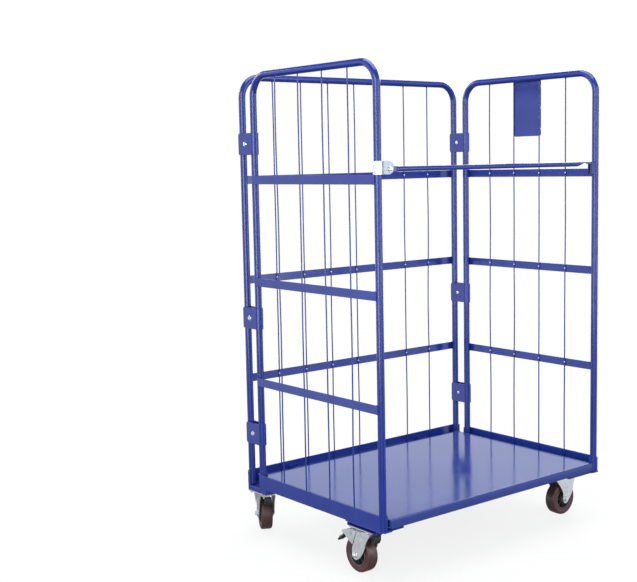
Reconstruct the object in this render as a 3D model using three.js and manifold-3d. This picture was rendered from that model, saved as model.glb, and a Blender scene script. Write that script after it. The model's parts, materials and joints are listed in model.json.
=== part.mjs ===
// Roll cage container: a wheeled transport cage with a fixed rear panel, two side panels on strap
// hinges, a deck that flips up, a retaining bar across the open front, and four castors.
// Millimetres, +Z up. The open front faces -Y and the ground is z = 0.
import * as THREE from 'three';
import { mergeVertices } from 'three/addons/utils/BufferGeometryUtils.js';
import Module from 'manifold-3d';

const wasm = await Module();
wasm.setup();

// ---- driving dimensions ----
const GAP = 0.3;                 // air between pieces that touch
const STEEL = 3;                 // thickness of rails, straps and brackets
const FUSE = 0.4;                // how far welded members of one piece run into each other

const TOTAL_HEIGHT = 1700;
const TUBE_RADIUS = 12.5;
const TUBE_WALL = 1.5;
const BEND_RADIUS = 75;
const POST_X = 537.5;
const FRONT_POST_Y = -367.5;
const HINGE_POST_Y = 298;
const REAR_POST_Y = 367.5;
const POST_FOOT_Z = 188;

const RAIL_HEIGHT = 30;
const RAIL_LEVELS = [585, 952, 1319];
const WIRE_RADIUS = 2.5;
const WIRE_FOOT_Z = 192;
const REAR_WIRE_PITCH = 131;
const REAR_WIRE_COUNT = 7;
const SIDE_WIRE_PITCH = 130;
const SIDE_WIRE_COUNT = 4;
const SIDE_WIRE_LAST = { left: 151, right: 171.5 };   // the wire nearest the hinge post

const BOTTOM_RAIL_LOW = 185;
const BOTTOM_RAIL_HIGH = 237;
const BOTTOM_RAIL_CLEAR = 1;     // from a post to the inside of the bottom rail wrapped round it
const WRAP_LEAF = 8;             // straight end of a wrap, past the centre of the post

const HINGE_LEVELS = { bottom: 386, middle: 817, top: 1448 };
const HINGE_HEIGHT = 78;
const HINGE_LEAF_PAST_POST = 8;
const BOLT_RADIUS = 4;
const BOLT_HOLE_RADIUS = 4.4;

const SEAT_TOP = BOTTOM_RAIL_LOW - GAP;
const SEAT_PLATE = 4;
const CASTOR_TOP = 165;
const SEAT_FLOOR = CASTOR_TOP + GAP;

const DECK_TOP = 220;
const DECK_SHEET = 2;
const DECK_HALF_WIDTH = 517.5;
const DECK_FRONT_Y = -383;
const DECK_REAR_Y = 335;
const DECK_FLANGE = 31;
const DECK_SIDE_LIP = 24;
const BEAM_WIDTH = 40;
const DECK_HINGE = { x: 336, y: 352, z: 208 };

const BAR_Z = 1351;
const BAR_RADIUS = 8;
const BAR_PIVOT_X = -490;
const BAR_EAR = 16;              // how far the sleeve's ears and the bar's flat end pass the pivot
const BAR_TONGUE_START = 465;
const BAR_END = 519;
const TONGUE_WIDTH = 24;
const TONGUE_THICKNESS = 4;
const TONGUE_DROP = 45;          // height of the tab folded down in front of the catch
const SLEEVE_LOW = 1334.6;
const SLEEVE_HIGH = 1377;
const SLEEVE_SHEET = 2.5;
const EAR_HALF_GAP = 3.2;        // half the space between the sleeve's ears

const WHEEL_RADIUS = 62.5;
const WHEEL_WIDTH = 42;
const CORE_RADIUS = 40;
const WHEEL_FACETS = 24;
const FORK_INNER = 26.5;         // from the middle of the wheel to a fork leg
const FORK_SHEET = 3.5;
const AXLE_RADIUS = 6;
const SWIVEL_TRAIL = 39;
const CROWN_LOW = 146;
const CROWN_HIGH = 150;
const TOP_PLATE = 4;
const PEDAL_PIVOT = { x: 56, z: 136 };
const CHEEK_GAP = 0.5;           // between a fork leg and the pedal's cheek
const CHEEK_SHEET = 2.5;
const PIN_REACH = 4.5;           // from a leg to the end of the pedal's pin
const STRIP_FRONT = -23.7;       // where the pedal's strip meets the release pad

const FRAME_ORIGIN = { x: 0, y: 46.51 };  // middle of the finished object's box, seen from above

// ---- materials ----
function finish(color, roughness, metalness) {
  return new THREE.MeshStandardMaterial({ color, roughness, metalness });
}

const powderBlue = finish(0x3440a0, 0.35, 0.0);
const deckBlue = finish(0x8f99cc, 0.25, 0.0);
const zinc = finish(0xc9cfd2, 0.35, 0.9);
const treadMaroon = finish(0x5c2228, 0.45, 0.0);
const coreGrey = finish(0x3a3d3f, 0.5, 0.0);
const blackRubber = finish(0x1d1f20, 0.7, 0.0);

// ---- solids ----
function solid(geometry) {
  const bare = geometry.clone();
  bare.deleteAttribute('normal');
  bare.deleteAttribute('uv');
  const merged = mergeVertices(bare, 1e-4);
  return new wasm.Manifold(new wasm.Mesh({
    numProp: 3,
    vertProperties: merged.attributes.position.array,
    triVerts: Uint32Array.from(merged.index.array),
  }));
}

function geometryOf(body) {
  const mesh = body.getMesh();
  const geometry = new THREE.BufferGeometry();
  geometry.setAttribute('position', new THREE.BufferAttribute(mesh.vertProperties, 3));
  geometry.setIndex(new THREE.BufferAttribute(mesh.triVerts, 1));
  geometry.computeVertexNormals();
  return geometry;
}

function union(first, ...others) {
  return geometryOf(others.reduce((body, other) => body.add(solid(other)), solid(first)));
}

function cut(first, ...tools) {
  return geometryOf(tools.reduce((body, tool) => body.subtract(solid(tool)), solid(first)));
}

function block(x0, x1, y0, y1, z0, z1) {
  const geometry = new THREE.BoxGeometry(x1 - x0, y1 - y0, z1 - z0);
  return geometry.translate((x0 + x1) / 2, (y0 + y1) / 2, (z0 + z1) / 2);
}

// Points of an arc from angle start to angle end, in degrees.
function arc(cx, cy, radius, start, end, pieces) {
  const points = [];
  for (let i = 0; i <= pieces; i += 1) {
    const angle = THREE.MathUtils.degToRad(start + (end - start) * i / pieces);
    points.push([cx + radius * Math.cos(angle), cy + radius * Math.sin(angle)]);
  }
  return points;
}

function shapeOf(outline, holes = []) {
  const vectors = (points) => points.map(([u, v]) => new THREE.Vector2(u, v));
  const shape = new THREE.Shape(vectors(outline));
  shape.holes = holes.map((hole) => new THREE.Path(vectors(hole)));
  return shape;
}

function slab(outline, holes, depth) {
  return new THREE.ExtrudeGeometry(shapeOf(outline, holes), { depth, bevelEnabled: false });
}

// Prisms whose outline is drawn in plan, from the side (y, z) or from the front (x, z).
function prismZ(outline, z0, z1, holes = []) {
  return slab(outline, holes, z1 - z0).translate(0, 0, z0);
}

function prismX(outline, x0, x1, holes = []) {
  const turn = new THREE.Matrix4().makeBasis(
    new THREE.Vector3(0, 1, 0), new THREE.Vector3(0, 0, 1), new THREE.Vector3(1, 0, 0));
  return slab(outline, holes, x1 - x0).applyMatrix4(turn).translate(x0, 0, 0);
}

function prismY(outline, y0, y1, holes = []) {
  const turn = new THREE.Matrix4().makeBasis(
    new THREE.Vector3(1, 0, 0), new THREE.Vector3(0, 0, 1), new THREE.Vector3(0, -1, 0));
  return slab(outline, holes, y1 - y0).applyMatrix4(turn).translate(0, y1, 0);
}

// A circle of straight sides, for holes, pins and tube sections.
function circle(cx, cy, radius, sides = 12, turn = 0) {
  return arc(cx, cy, radius, turn, turn + 360, sides).slice(0, sides);
}

// A hexagon head or nut on an axis along X or Y.
function hexAlongX(x0, x1, y, z, across) {
  return prismX(circle(y, z, across / Math.sqrt(3), 6), x0, x1);
}

function hexAlongY(x, y0, y1, z, across) {
  return prismY(circle(x, z, across / Math.sqrt(3), 6), y0, y1);
}

function mirrorOutline(outline, side) {
  return outline.map(([x, y]) => [x * side, y]);
}

// ---- tube frames ----
// A path given station by station, so that a long straight stretch takes a single step.
class Route extends THREE.Curve {
  constructor(stations) {
    super();
    this.stations = stations;
  }

  station(t) {
    return this.stations[Math.round(t * (this.stations.length - 1))];
  }

  getUtoTmapping(u) {
    return u;
  }

  getPoint(t, target = new THREE.Vector3()) {
    return target.copy(this.station(t).point);
  }

  getTangent(t, target = new THREE.Vector3()) {
    return target.copy(this.station(t).tangent);
  }
}

// An arch in a plane: up one post, round a bend, along the top, round a bend and down.
// place(s, z) turns a distance along the panel and a height into a point.
function archTube(from, to, place) {
  const top = TOTAL_HEIGHT - TUBE_RADIUS;
  const bendZ = top - BEND_RADIUS;
  const stations = [];
  const origin = place(0, 0);
  const add = (s, z, ds, dz) => stations.push({
    point: place(s, z),
    tangent: place(ds, dz).sub(origin).normalize(),
  });
  const bend = (centre, start, end) => {
    for (let i = 0; i <= 5; i += 1) {
      const angle = THREE.MathUtils.degToRad(start + (end - start) * i / 5);
      const s = Math.cos(angle);
      const z = Math.sin(angle);
      add(centre + BEND_RADIUS * s, bendZ + BEND_RADIUS * z, z, -s);
    }
  };
  add(from, POST_FOOT_Z, 0, 1);
  bend(from + BEND_RADIUS, 180, 90);
  bend(to - BEND_RADIUS, 90, 0);
  add(to, POST_FOOT_Z, 0, -1);
  const section = shapeOf(circle(0, 0, TUBE_RADIUS), [circle(0, 0, TUBE_RADIUS - TUBE_WALL)]);
  return new THREE.ExtrudeGeometry(section, {
    steps: stations.length - 1,
    extrudePath: new Route(stations),
  });
}

// ---- wire grids: upright wires welded to the inside of three flat rails ----
function wire(x, y) {
  const low = WIRE_FOOT_Z;
  const high = TOTAL_HEIGHT - 2 * TUBE_RADIUS + 1;
  return prismZ(circle(x, y, WIRE_RADIUS, 8), low, high);
}

const railInner = TUBE_RADIUS + GAP;
const railOuter = railInner + STEEL;
const wireOffset = railInner - WIRE_RADIUS + FUSE;

function rearWireGrid() {
  const members = [];
  for (const level of RAIL_LEVELS) {
    members.push(block(-POST_X, POST_X, REAR_POST_Y + railInner, REAR_POST_Y + railOuter,
      level - RAIL_HEIGHT / 2, level + RAIL_HEIGHT / 2));
  }
  for (let i = 0; i < REAR_WIRE_COUNT; i += 1) {
    const x = (i - (REAR_WIRE_COUNT - 1) / 2) * REAR_WIRE_PITCH;
    members.push(wire(x, REAR_POST_Y + wireOffset));
  }
  return union(...members);
}

function sideWireY(name, i) {
  return SIDE_WIRE_LAST[name] - SIDE_WIRE_PITCH * i;
}

function sideWireGrid(name, side) {
  const members = [];
  const faces = [side * (POST_X + railInner), side * (POST_X + railOuter)].sort((a, b) => a - b);
  for (const level of RAIL_LEVELS) {
    members.push(block(faces[0], faces[1], FRONT_POST_Y, HINGE_POST_Y,
      level - RAIL_HEIGHT / 2, level + RAIL_HEIGHT / 2));
  }
  for (let i = 0; i < SIDE_WIRE_COUNT; i += 1) {
    members.push(wire(side * (POST_X + wireOffset), sideWireY(name, i)));
  }
  return union(...members);
}

// ---- bottom rails: deep flat rails wrapped round the feet of the posts ----
const wrapInner = TUBE_RADIUS + BOTTOM_RAIL_CLEAR;
const wrapOuter = wrapInner + STEEL;

function sideBottomRail(side) {
  const outline = [
    [POST_X - wrapOuter, FRONT_POST_Y + WRAP_LEAF],
    ...arc(POST_X, FRONT_POST_Y, wrapOuter, 180, 360, 12),
    ...arc(POST_X, HINGE_POST_Y, wrapOuter, 0, 180, 12),
    [POST_X - wrapOuter, HINGE_POST_Y - WRAP_LEAF],
    [POST_X - wrapInner, HINGE_POST_Y - WRAP_LEAF],
    ...arc(POST_X, HINGE_POST_Y, wrapInner, 180, 0, 12),
    ...arc(POST_X, FRONT_POST_Y, wrapInner, 360, 180, 12),
    [POST_X - wrapInner, FRONT_POST_Y + WRAP_LEAF],
  ];
  return prismZ(mirrorOutline(outline, side), BOTTOM_RAIL_LOW, BOTTOM_RAIL_HIGH);
}

function rearBottomRail() {
  const outline = [
    [POST_X + wrapOuter, REAR_POST_Y - WRAP_LEAF],
    ...arc(POST_X, REAR_POST_Y, wrapOuter, 0, 90, 6),
    ...arc(-POST_X, REAR_POST_Y, wrapOuter, 90, 180, 6),
    [-POST_X - wrapOuter, REAR_POST_Y - WRAP_LEAF],
    [-POST_X - wrapInner, REAR_POST_Y - WRAP_LEAF],
    ...arc(-POST_X, REAR_POST_Y, wrapInner, 180, 90, 6),
    ...arc(POST_X, REAR_POST_Y, wrapInner, 90, 0, 6),
    [POST_X + wrapInner, REAR_POST_Y - WRAP_LEAF],
  ];
  return prismZ(outline, BOTTOM_RAIL_LOW, BOTTOM_RAIL_HIGH);
}

// ---- castor seats: folded steel boxes under the corners ----
const SEAT_OUTER = 553;
const SEAT_INNER = 425;
const FRONT_SEAT = { front: -345, rear: -195, tongueFront: -386, tongueInner: 503 };
const REAR_SEAT = { front: 262, rear: 386 };

function frontSeat(side) {
  const { front, rear, tongueFront, tongueInner } = FRONT_SEAT;
  const plate = [
    [SEAT_OUTER, rear], [SEAT_INNER, rear], [SEAT_INNER, front], [tongueInner, front],
    [tongueInner, tongueFront + 8], [tongueInner + 12, tongueFront],
    [SEAT_OUTER - 8, tongueFront], [SEAT_OUTER, tongueFront + 14],
  ];
  const floor = [[SEAT_OUTER - 8, rear], [SEAT_INNER, rear], [SEAT_INNER, front], [SEAT_OUTER - 8, front]];
  const walls = [[front, front + STEEL], [rear - STEEL, rear]].map(([y0, y1]) => prismZ(
    mirrorOutline([[SEAT_OUTER - 8, y0], [SEAT_INNER, y0], [SEAT_INNER, y1], [SEAT_OUTER - 8, y1]], side),
    SEAT_FLOOR, SEAT_TOP - SEAT_PLATE + FUSE));
  return union(
    prismZ(mirrorOutline(plate, side), SEAT_TOP - SEAT_PLATE, SEAT_TOP),
    prismZ(mirrorOutline(floor, side), SEAT_FLOOR, SEAT_FLOOR + STEEL),
    ...walls);
}

function rearSeat(side) {
  const { front, rear } = REAR_SEAT;
  const plate = [
    [SEAT_OUTER, front], [SEAT_OUTER, rear - 12], [SEAT_OUTER - 12, rear],
    [SEAT_INNER, rear], [SEAT_INNER, front],
  ];
  const outerWall = [
    [SEAT_OUTER, front], [SEAT_OUTER, rear - 12], [SEAT_OUTER - STEEL, rear - 12], [SEAT_OUTER - STEEL, front],
  ];
  const frontWall = [
    [SEAT_OUTER, front], [SEAT_INNER, front], [SEAT_INNER, front + STEEL], [SEAT_OUTER, front + STEEL],
  ];
  const wallTop = SEAT_TOP - SEAT_PLATE + FUSE;
  return union(
    prismZ(mirrorOutline(plate, side), SEAT_TOP - SEAT_PLATE, SEAT_TOP),
    prismZ(mirrorOutline(plate, side), SEAT_FLOOR, SEAT_FLOOR + STEEL),
    prismZ(mirrorOutline(outerWall, side), SEAT_FLOOR, wallTop),
    prismZ(mirrorOutline(frontWall, side), SEAT_FLOOR, wallTop));
}

// ---- strap hinges: a sheet-metal U round the side panel's rear post, pinched by a bolt ----
const hingeBoltY = (HINGE_POST_Y + REAR_POST_Y) / 2;

function hingeStrap(side, level) {
  const leafEnd = REAR_POST_Y + HINGE_LEAF_PAST_POST;
  const outline = [
    [POST_X - railOuter, leafEnd],
    ...arc(POST_X, HINGE_POST_Y, railOuter, 180, 360, 12),
    [POST_X + railOuter, leafEnd],
    [POST_X + railInner, leafEnd],
    ...arc(POST_X, HINGE_POST_Y, railInner, 360, 180, 12),
    [POST_X - railInner, leafEnd],
  ];
  const strap = prismZ(mirrorOutline(outline, side), level - HINGE_HEIGHT / 2, level + HINGE_HEIGHT / 2);
  const reach = side * (POST_X + 2 * TUBE_RADIUS);
  const root = side * (POST_X - 2 * TUBE_RADIUS);
  const hole = prismX(circle(hingeBoltY, level, BOLT_HOLE_RADIUS, 10), Math.min(reach, root),
    Math.max(reach, root));
  return cut(strap, hole);
}

function hingeBolt(side, level) {
  const outer = POST_X + railOuter + GAP;
  const inner = POST_X - railOuter - GAP;
  const stretch = (a, b) => [Math.min(side * a, side * b), Math.max(side * a, side * b)];
  const [headLow, headHigh] = stretch(outer, outer + 5);
  const [nutLow, nutHigh] = stretch(inner - 3, inner);
  const [shankLow, shankHigh] = stretch(inner - 3, outer + 5);
  return union(
    prismX(circle(hingeBoltY, level, BOLT_RADIUS, 10), shankLow, shankHigh),
    hexAlongX(headLow, headHigh, hingeBoltY, level, 13),
    hexAlongX(nutLow, nutHigh, hingeBoltY, level, 13));
}

// ---- deck and its hinge ----
function deckSheet() {
  const body = block(-DECK_HALF_WIDTH, DECK_HALF_WIDTH, DECK_FRONT_Y, DECK_REAR_Y,
    DECK_TOP - DECK_FLANGE, DECK_TOP);
  const hollow = block(-DECK_HALF_WIDTH + DECK_SHEET, DECK_HALF_WIDTH - DECK_SHEET,
    DECK_FRONT_Y + DECK_SHEET, DECK_REAR_Y + 1, DECK_TOP - DECK_FLANGE - 1, DECK_TOP - DECK_SHEET);
  const belowLips = block(-DECK_HALF_WIDTH - 1, DECK_HALF_WIDTH + 1,
    DECK_FRONT_Y + DECK_SHEET, DECK_REAR_Y + 1, DECK_TOP - DECK_FLANGE - 1, DECK_TOP - DECK_SIDE_LIP);
  return cut(body, hollow, belowLips);
}

function deckBeam(middleY) {
  const low = SEAT_TOP + GAP;
  const high = DECK_TOP - DECK_SHEET - GAP;
  const [y0, y1] = [middleY - BEAM_WIDTH / 2, middleY + BEAM_WIDTH / 2];
  const outline = [
    [y0, high], [y0, low], [y1, low], [y1, high],
    [y1 - STEEL, high], [y1 - STEEL, low + STEEL], [y0 + STEEL, low + STEEL], [y0 + STEEL, high],
  ];
  const halfLength = DECK_HALF_WIDTH - DECK_SHEET - GAP;
  return prismX(outline, -halfLength, halfLength);
}

function deckEye(side) {
  const { x, y, z } = DECK_HINGE;
  const radius = DECK_TOP - DECK_SHEET - GAP - z;
  const outline = [
    [y - 28, z + radius], [y - 28, z],
    [y, z - radius],
    ...arc(y, z, radius, -60, 90, 5),
  ];
  return prismX(outline, side * x - 12, side * x + 12, [circle(y, z, BOLT_HOLE_RADIUS, 10)]);
}

function deckHingeLug(side) {
  const { x, y, z } = DECK_HINGE;
  const railFace = REAR_POST_Y + wrapInner - GAP;
  const cheek = [
    [railFace, z - 14], [railFace, z + 12], [y + 8, z + 8],
    ...arc(y, z, 8, 60, 270, 7),
  ];
  const middle = side * x;
  return union(
    block(middle - 18, middle + 18, railFace - STEEL, railFace, z - 14, z + 12),
    prismX(cheek, middle - 18, middle - 18 + STEEL),
    prismX(cheek, middle + 18 - STEEL, middle + 18),
    prismX(circle(y, z, BOLT_RADIUS, 10), middle - 21, middle + 21));
}

// ---- name plate and bar catch on the right panel ----
function namePlate() {
  const face = POST_X + wireOffset + WIRE_RADIUS + GAP;
  const [y0, y1] = [sideWireY('right', 2) - 6, sideWireY('right', 1) + 1];
  const [z0, z1] = [1463, 1680];
  const r = 8;
  const outline = [
    ...arc(y0 + r, z0 + r, r, 180, 270, 3), ...arc(y1 - r, z0 + r, r, 270, 360, 3),
    ...arc(y1 - r, z1 - r, r, 0, 90, 3), ...arc(y0 + r, z1 - r, r, 90, 180, 3),
  ];
  return prismX(outline, face, face + 1.5);
}

const tongueLow = BAR_Z + BAR_RADIUS - TONGUE_THICKNESS;

function barCatch() {
  const ledgeTop = tongueLow - 0.6;
  const [x0, x1] = [BAR_END - 23, POST_X - TUBE_RADIUS - GAP];
  return union(
    block(x0, x1, FRONT_POST_Y - 10.5, FRONT_POST_Y + 10.5, ledgeTop - STEEL, ledgeTop),
    block(x0, x1, FRONT_POST_Y - STEEL / 2, FRONT_POST_Y + STEEL / 2, 1311, ledgeTop));
}

// ---- retaining bar, its sleeve and pivot ----
function barSleeve() {
  const inner = TUBE_RADIUS + GAP;
  const outer = inner + SLEEVE_SHEET;
  const earOuter = EAR_HALF_GAP + SLEEVE_SHEET;
  const y = FRONT_POST_Y;
  const earEnd = BAR_PIVOT_X + BAR_EAR;
  const outline = [
    [earEnd, y + EAR_HALF_GAP], [earEnd, y + earOuter], [-517, y + earOuter],
    ...arc(-POST_X, y, outer, 40, 320, 18),
    [-517, y - earOuter], [earEnd, y - earOuter], [earEnd, y - EAR_HALF_GAP],
    [-519, y - EAR_HALF_GAP],
    ...arc(-POST_X, y, inner, 325, 35, 18),
    [-519, y + EAR_HALF_GAP],
  ];
  const strap = solid(prismZ(outline, SLEEVE_LOW, SLEEVE_HIGH));
  const middle = (SLEEVE_LOW + SLEEVE_HIGH) / 2;
  const half = (SLEEVE_HIGH - SLEEVE_LOW) / 2;
  const profile = [
    [-560, middle - half], ...arc(earEnd - half, middle, half, -90, 90, 10), [-560, middle + half],
  ];
  const hole = solid(prismY(circle(BAR_PIVOT_X, BAR_Z, BOLT_HOLE_RADIUS, 10), y - 30, y + 30));
  return geometryOf(strap.intersect(solid(prismY(profile, y - 30, y + 30))).subtract(hole));
}

function barPivotBolt() {
  const y = FRONT_POST_Y;
  const face = EAR_HALF_GAP + SLEEVE_SHEET + GAP;
  return union(
    prismY(circle(BAR_PIVOT_X, BAR_Z, BOLT_RADIUS, 10), y - face - 8, y + face + 5),
    hexAlongY(BAR_PIVOT_X, y - face - 6.5, y - face, BAR_Z, 13),
    hexAlongY(BAR_PIVOT_X, y + face, y + face + 5, BAR_Z, 13));
}

function retainingBar() {
  const y = FRONT_POST_Y;
  const eyeRadius = 11;
  const eyeHalf = EAR_HALF_GAP - GAP;
  const eyeEnd = BAR_PIVOT_X + BAR_EAR + 24;
  const rod = prismX(circle(y, BAR_Z, BAR_RADIUS), eyeEnd - 8, BAR_TONGUE_START - GAP);
  const eye = prismY([
    ...arc(BAR_PIVOT_X, BAR_Z, eyeRadius, 90, 270, 8), [eyeEnd, BAR_Z - 7], [eyeEnd, BAR_Z + 7],
  ], y - eyeHalf, y + eyeHalf, [circle(BAR_PIVOT_X, BAR_Z, BOLT_HOLE_RADIUS, 10)]);
  return union(rod, eye);
}

// A strip welded to the end of the rod, with a tab folded down in front of the catch.
function barTongue() {
  const y = FRONT_POST_Y;
  const strip = block(BAR_TONGUE_START, BAR_END, y - TONGUE_WIDTH / 2, y + TONGUE_WIDTH / 2,
    tongueLow, tongueLow + TONGUE_THICKNESS);
  const tab = block(BAR_END - 22, BAR_END, y - TONGUE_WIDTH / 2 - TONGUE_THICKNESS, y - TONGUE_WIDTH / 2,
    tongueLow + TONGUE_THICKNESS - TONGUE_DROP, tongueLow + TONGUE_THICKNESS);
  return union(strip, tab);
}

// ---- castors ----
// In a castor's own frame the mounting axis is x = y = 0, the wheel trails towards +X by trail,
// and its axle runs along Y.
function lathe(profile) {
  const points = profile.map(([radius, across]) => new THREE.Vector2(radius, across));
  points.push(points[0].clone());
  const facet = 2 * Math.PI / WHEEL_FACETS;
  // Half a facet of turn puts a flat at the bottom; the radius grows so that the flats touch.
  const grow = 1 / Math.cos(facet / 2);
  return new THREE.LatheGeometry(points, WHEEL_FACETS).scale(grow, 1, grow).rotateY(facet / 2);
}

function tyre(trail) {
  const half = WHEEL_WIDTH / 2;
  const profile = [
    [CORE_RADIUS, -half + 2], [WHEEL_RADIUS - 7, -half], [WHEEL_RADIUS - 2.2, -half + 3.5],
    [WHEEL_RADIUS, -half + 9], [WHEEL_RADIUS, half - 9], [WHEEL_RADIUS - 2.2, half - 3.5],
    [WHEEL_RADIUS - 7, half], [CORE_RADIUS, half - 2],
  ];
  return lathe(profile).translate(trail, 0, WHEEL_RADIUS);
}

function wheelCore(trail) {
  const half = WHEEL_WIDTH / 2;
  const hubHalf = FORK_INNER - 1;
  const bore = AXLE_RADIUS + GAP;
  const rim = CORE_RADIUS - GAP;
  const profile = [
    [bore, -hubHalf], [15, -hubHalf], [17, -6], [rim - 6, -6], [rim - 4, -half + 1], [rim, -half + 1],
    [rim, half - 1], [rim - 4, half - 1], [rim - 6, 6], [17, 6], [15, hubHalf], [bore, hubHalf],
  ];
  return lathe(profile).translate(trail, 0, WHEEL_RADIUS);
}

function axle(trail) {
  const legOuter = FORK_INNER + FORK_SHEET + GAP;
  return union(
    prismY(circle(trail, WHEEL_RADIUS, AXLE_RADIUS), -legOuter - 6, legOuter + 9),
    hexAlongY(trail, -legOuter - 6, -legOuter, WHEEL_RADIUS, 19),
    hexAlongY(trail, legOuter, legOuter + 7, WHEEL_RADIUS, 19));
}

function forkLeg(outline, trail, side) {
  const faces = [side * FORK_INNER, side * (FORK_INNER + FORK_SHEET)].sort((a, b) => a - b);
  return prismY(outline, faces[0], faces[1], [circle(trail, WHEEL_RADIUS, AXLE_RADIUS + GAP)]);
}

function topPlate(length, width) {
  return block(-length / 2, length / 2, -width / 2, width / 2, CASTOR_TOP - TOP_PLATE, CASTOR_TOP);
}

function swivelTop(length, width) {
  const raceLow = CROWN_HIGH + 2 + GAP;
  return union(topPlate(length, width), prismZ(circle(0, 0, 27, 20), raceLow, CASTOR_TOP - 1));
}

// Each leg narrows from the crown to the axle, leaning back with a hollow front edge, and keeps an
// ear at the top of its rear edge for the pedal's pin.
function swivelFork() {
  const { x, z } = PEDAL_PIVOT;
  const crownFront = -32;
  const crownRear = 46;
  const outline = [
    [-38, CROWN_HIGH], [-34, 140], [-25, 129], [-14, 111], [-9, 93], [2, 73], [15, 58],
    ...arc(SWIVEL_TRAIL - 1, WHEEL_RADIUS - 1, 16, 215, 340, 6),
    [56, 75], [51, 94], [40, 112], [48, 122], [x + 9, z - 8], [x + 9, z + 6], [x + 2, CROWN_HIGH],
  ];
  const half = FORK_INNER + FORK_SHEET;
  return union(
    block(crownFront, crownRear, -half, half, CROWN_LOW, CROWN_HIGH),
    forkLeg(outline, SWIVEL_TRAIL, -1),
    forkLeg(outline, SWIVEL_TRAIL, 1),
    prismZ(circle(0, 0, 25, 20), CROWN_HIGH - 1, CROWN_HIGH + 2),
    prismZ(circle(0, 0, 9, 6), CROWN_LOW - 5, CROWN_LOW + 1),
    prismY(circle(x, z, BOLT_RADIUS, 10), -half - PIN_REACH, half + PIN_REACH));
}

function rigidFork(length, width) {
  const half = length / 2;
  const outline = [
    [-half, CASTOR_TOP - 1], [-half, CASTOR_TOP - 19], [-31, 117], [-13, 88], [-14, 66],
    ...arc(2, WHEEL_RADIUS - 1, 16, 215, 340, 6),
    [23, 62], [38, 83], [46, 109], [half, 138], [half, CASTOR_TOP - 1],
  ];
  return union(topPlate(length, width), forkLeg(outline, 0, -1), forkLeg(outline, 0, 1));
}

// The pedal is a rocker on a pin through the fork. A cheek outside each leg carries a foot tongue
// behind the wheel; between the legs a strip bears a shoe over the tread and runs forward over the
// wheel to the release pad.

function brakePedal() {
  const { x, z } = PEDAL_PIVOT;
  const strip = [
    [STRIP_FRONT, 129], [70, 129], [88, 130], [102, 128], [116, 115], [136, 95], [149, 82],
    [154, 86], [140, 101], [120, 121], [106, 134], [92, 139], [66, 142],
    [x, 144], [x - 9, 140], [x - 12, 132.5], [STRIP_FRONT, 132.5],
  ];
  const cheek = [
    [28, 148], [50, 97], [66, 107], [84, 119], [103, 129], [106, 134], [92, 139], [60, 148],
  ];
  const root = [[84, 130], [88, 130], [102, 128], [112, 119], [115, 125], [106, 134], [92, 139], [84, 140]];
  const inner = FORK_INNER + FORK_SHEET + CHEEK_GAP;
  const outer = inner + CHEEK_SHEET;
  const hole = [circle(x, z, BOLT_HOLE_RADIUS, 10)];
  return union(
    prismY(strip, -15, 15, hole),
    prismY(root, -outer, outer),
    prismY(cheek, inner, outer, hole),
    prismY(cheek, -outer, -inner, hole),
    block(64, 78, -14, 14, 122.3, 130));
}

function releasePad() {
  return prismY([
    [STRIP_FRONT - GAP, 112], [STRIP_FRONT - GAP, 134], [-36, 136], [-37, 143], [-42, 145],
    [-47, 141], [-48, 128], [-40, 114], [-32, 110],
  ], -13, 13);
}

// ---- assembly ----
const cage = new THREE.Group();
cage.position.set(-FRAME_ORIGIN.x, -FRAME_ORIGIN.y, 0);

function add(name, geometry, material, parent = cage) {
  const mesh = new THREE.Mesh(geometry, material);
  mesh.name = name;
  parent.add(mesh);
}

const SIDES = { left: -1, right: 1 };

add('rear_tube_frame', archTube(-POST_X, POST_X, (s, z) => new THREE.Vector3(s, REAR_POST_Y, z)), powderBlue);
add('rear_wire_grid', rearWireGrid(), powderBlue);
add('rear_bottom_rail', rearBottomRail(), powderBlue);

for (const [name, side] of Object.entries(SIDES)) {
  const place = (s, z) => new THREE.Vector3(side * POST_X, s, z);
  add(`${name}_tube_frame`, archTube(FRONT_POST_Y, HINGE_POST_Y, place), powderBlue);
  add(`${name}_wire_grid`, sideWireGrid(name, side), powderBlue);
  add(`${name}_bottom_rail`, sideBottomRail(side), powderBlue);
  add(`front_${name}_seat`, frontSeat(side), powderBlue);
  add(`rear_${name}_seat`, rearSeat(side), powderBlue);
  for (const [level, z] of Object.entries(HINGE_LEVELS)) {
    add(`${name}_hinge_strap_${level}`, hingeStrap(side, z), powderBlue);
    add(`${name}_hinge_bolt_${level}`, hingeBolt(side, z), zinc);
  }
  add(`deck_${name}_hinge_lug`, deckHingeLug(side), powderBlue);
  add(`deck_${name}_eye`, deckEye(side), powderBlue);
}

add('name_plate', namePlate(), powderBlue);
add('bar_catch', barCatch(), powderBlue);

add('deck_sheet', deckSheet(), deckBlue);
add('deck_front_beam', deckBeam(-270), powderBlue);
add('deck_rear_beam', deckBeam(292), powderBlue);

add('bar_sleeve', barSleeve(), zinc);
add('bar_pivot_bolt', barPivotBolt(), zinc);
add('retaining_bar', retainingBar(), powderBlue);
add('retaining_bar_tongue', barTongue(), powderBlue);

const CASTORS = [
  { name: 'front_left', x: -501, y: -255, heading: 90, swivel: true, plate: [85, 114] },
  { name: 'rear_left', x: -500, y: 335, heading: 63, swivel: true, plate: [105, 85] },
  { name: 'front_right', x: 483, y: -250, heading: 0, swivel: false, plate: [112, 85] },
  { name: 'rear_right', x: 486, y: 335, heading: 0, swivel: false, plate: [112, 85] },
];

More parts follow.
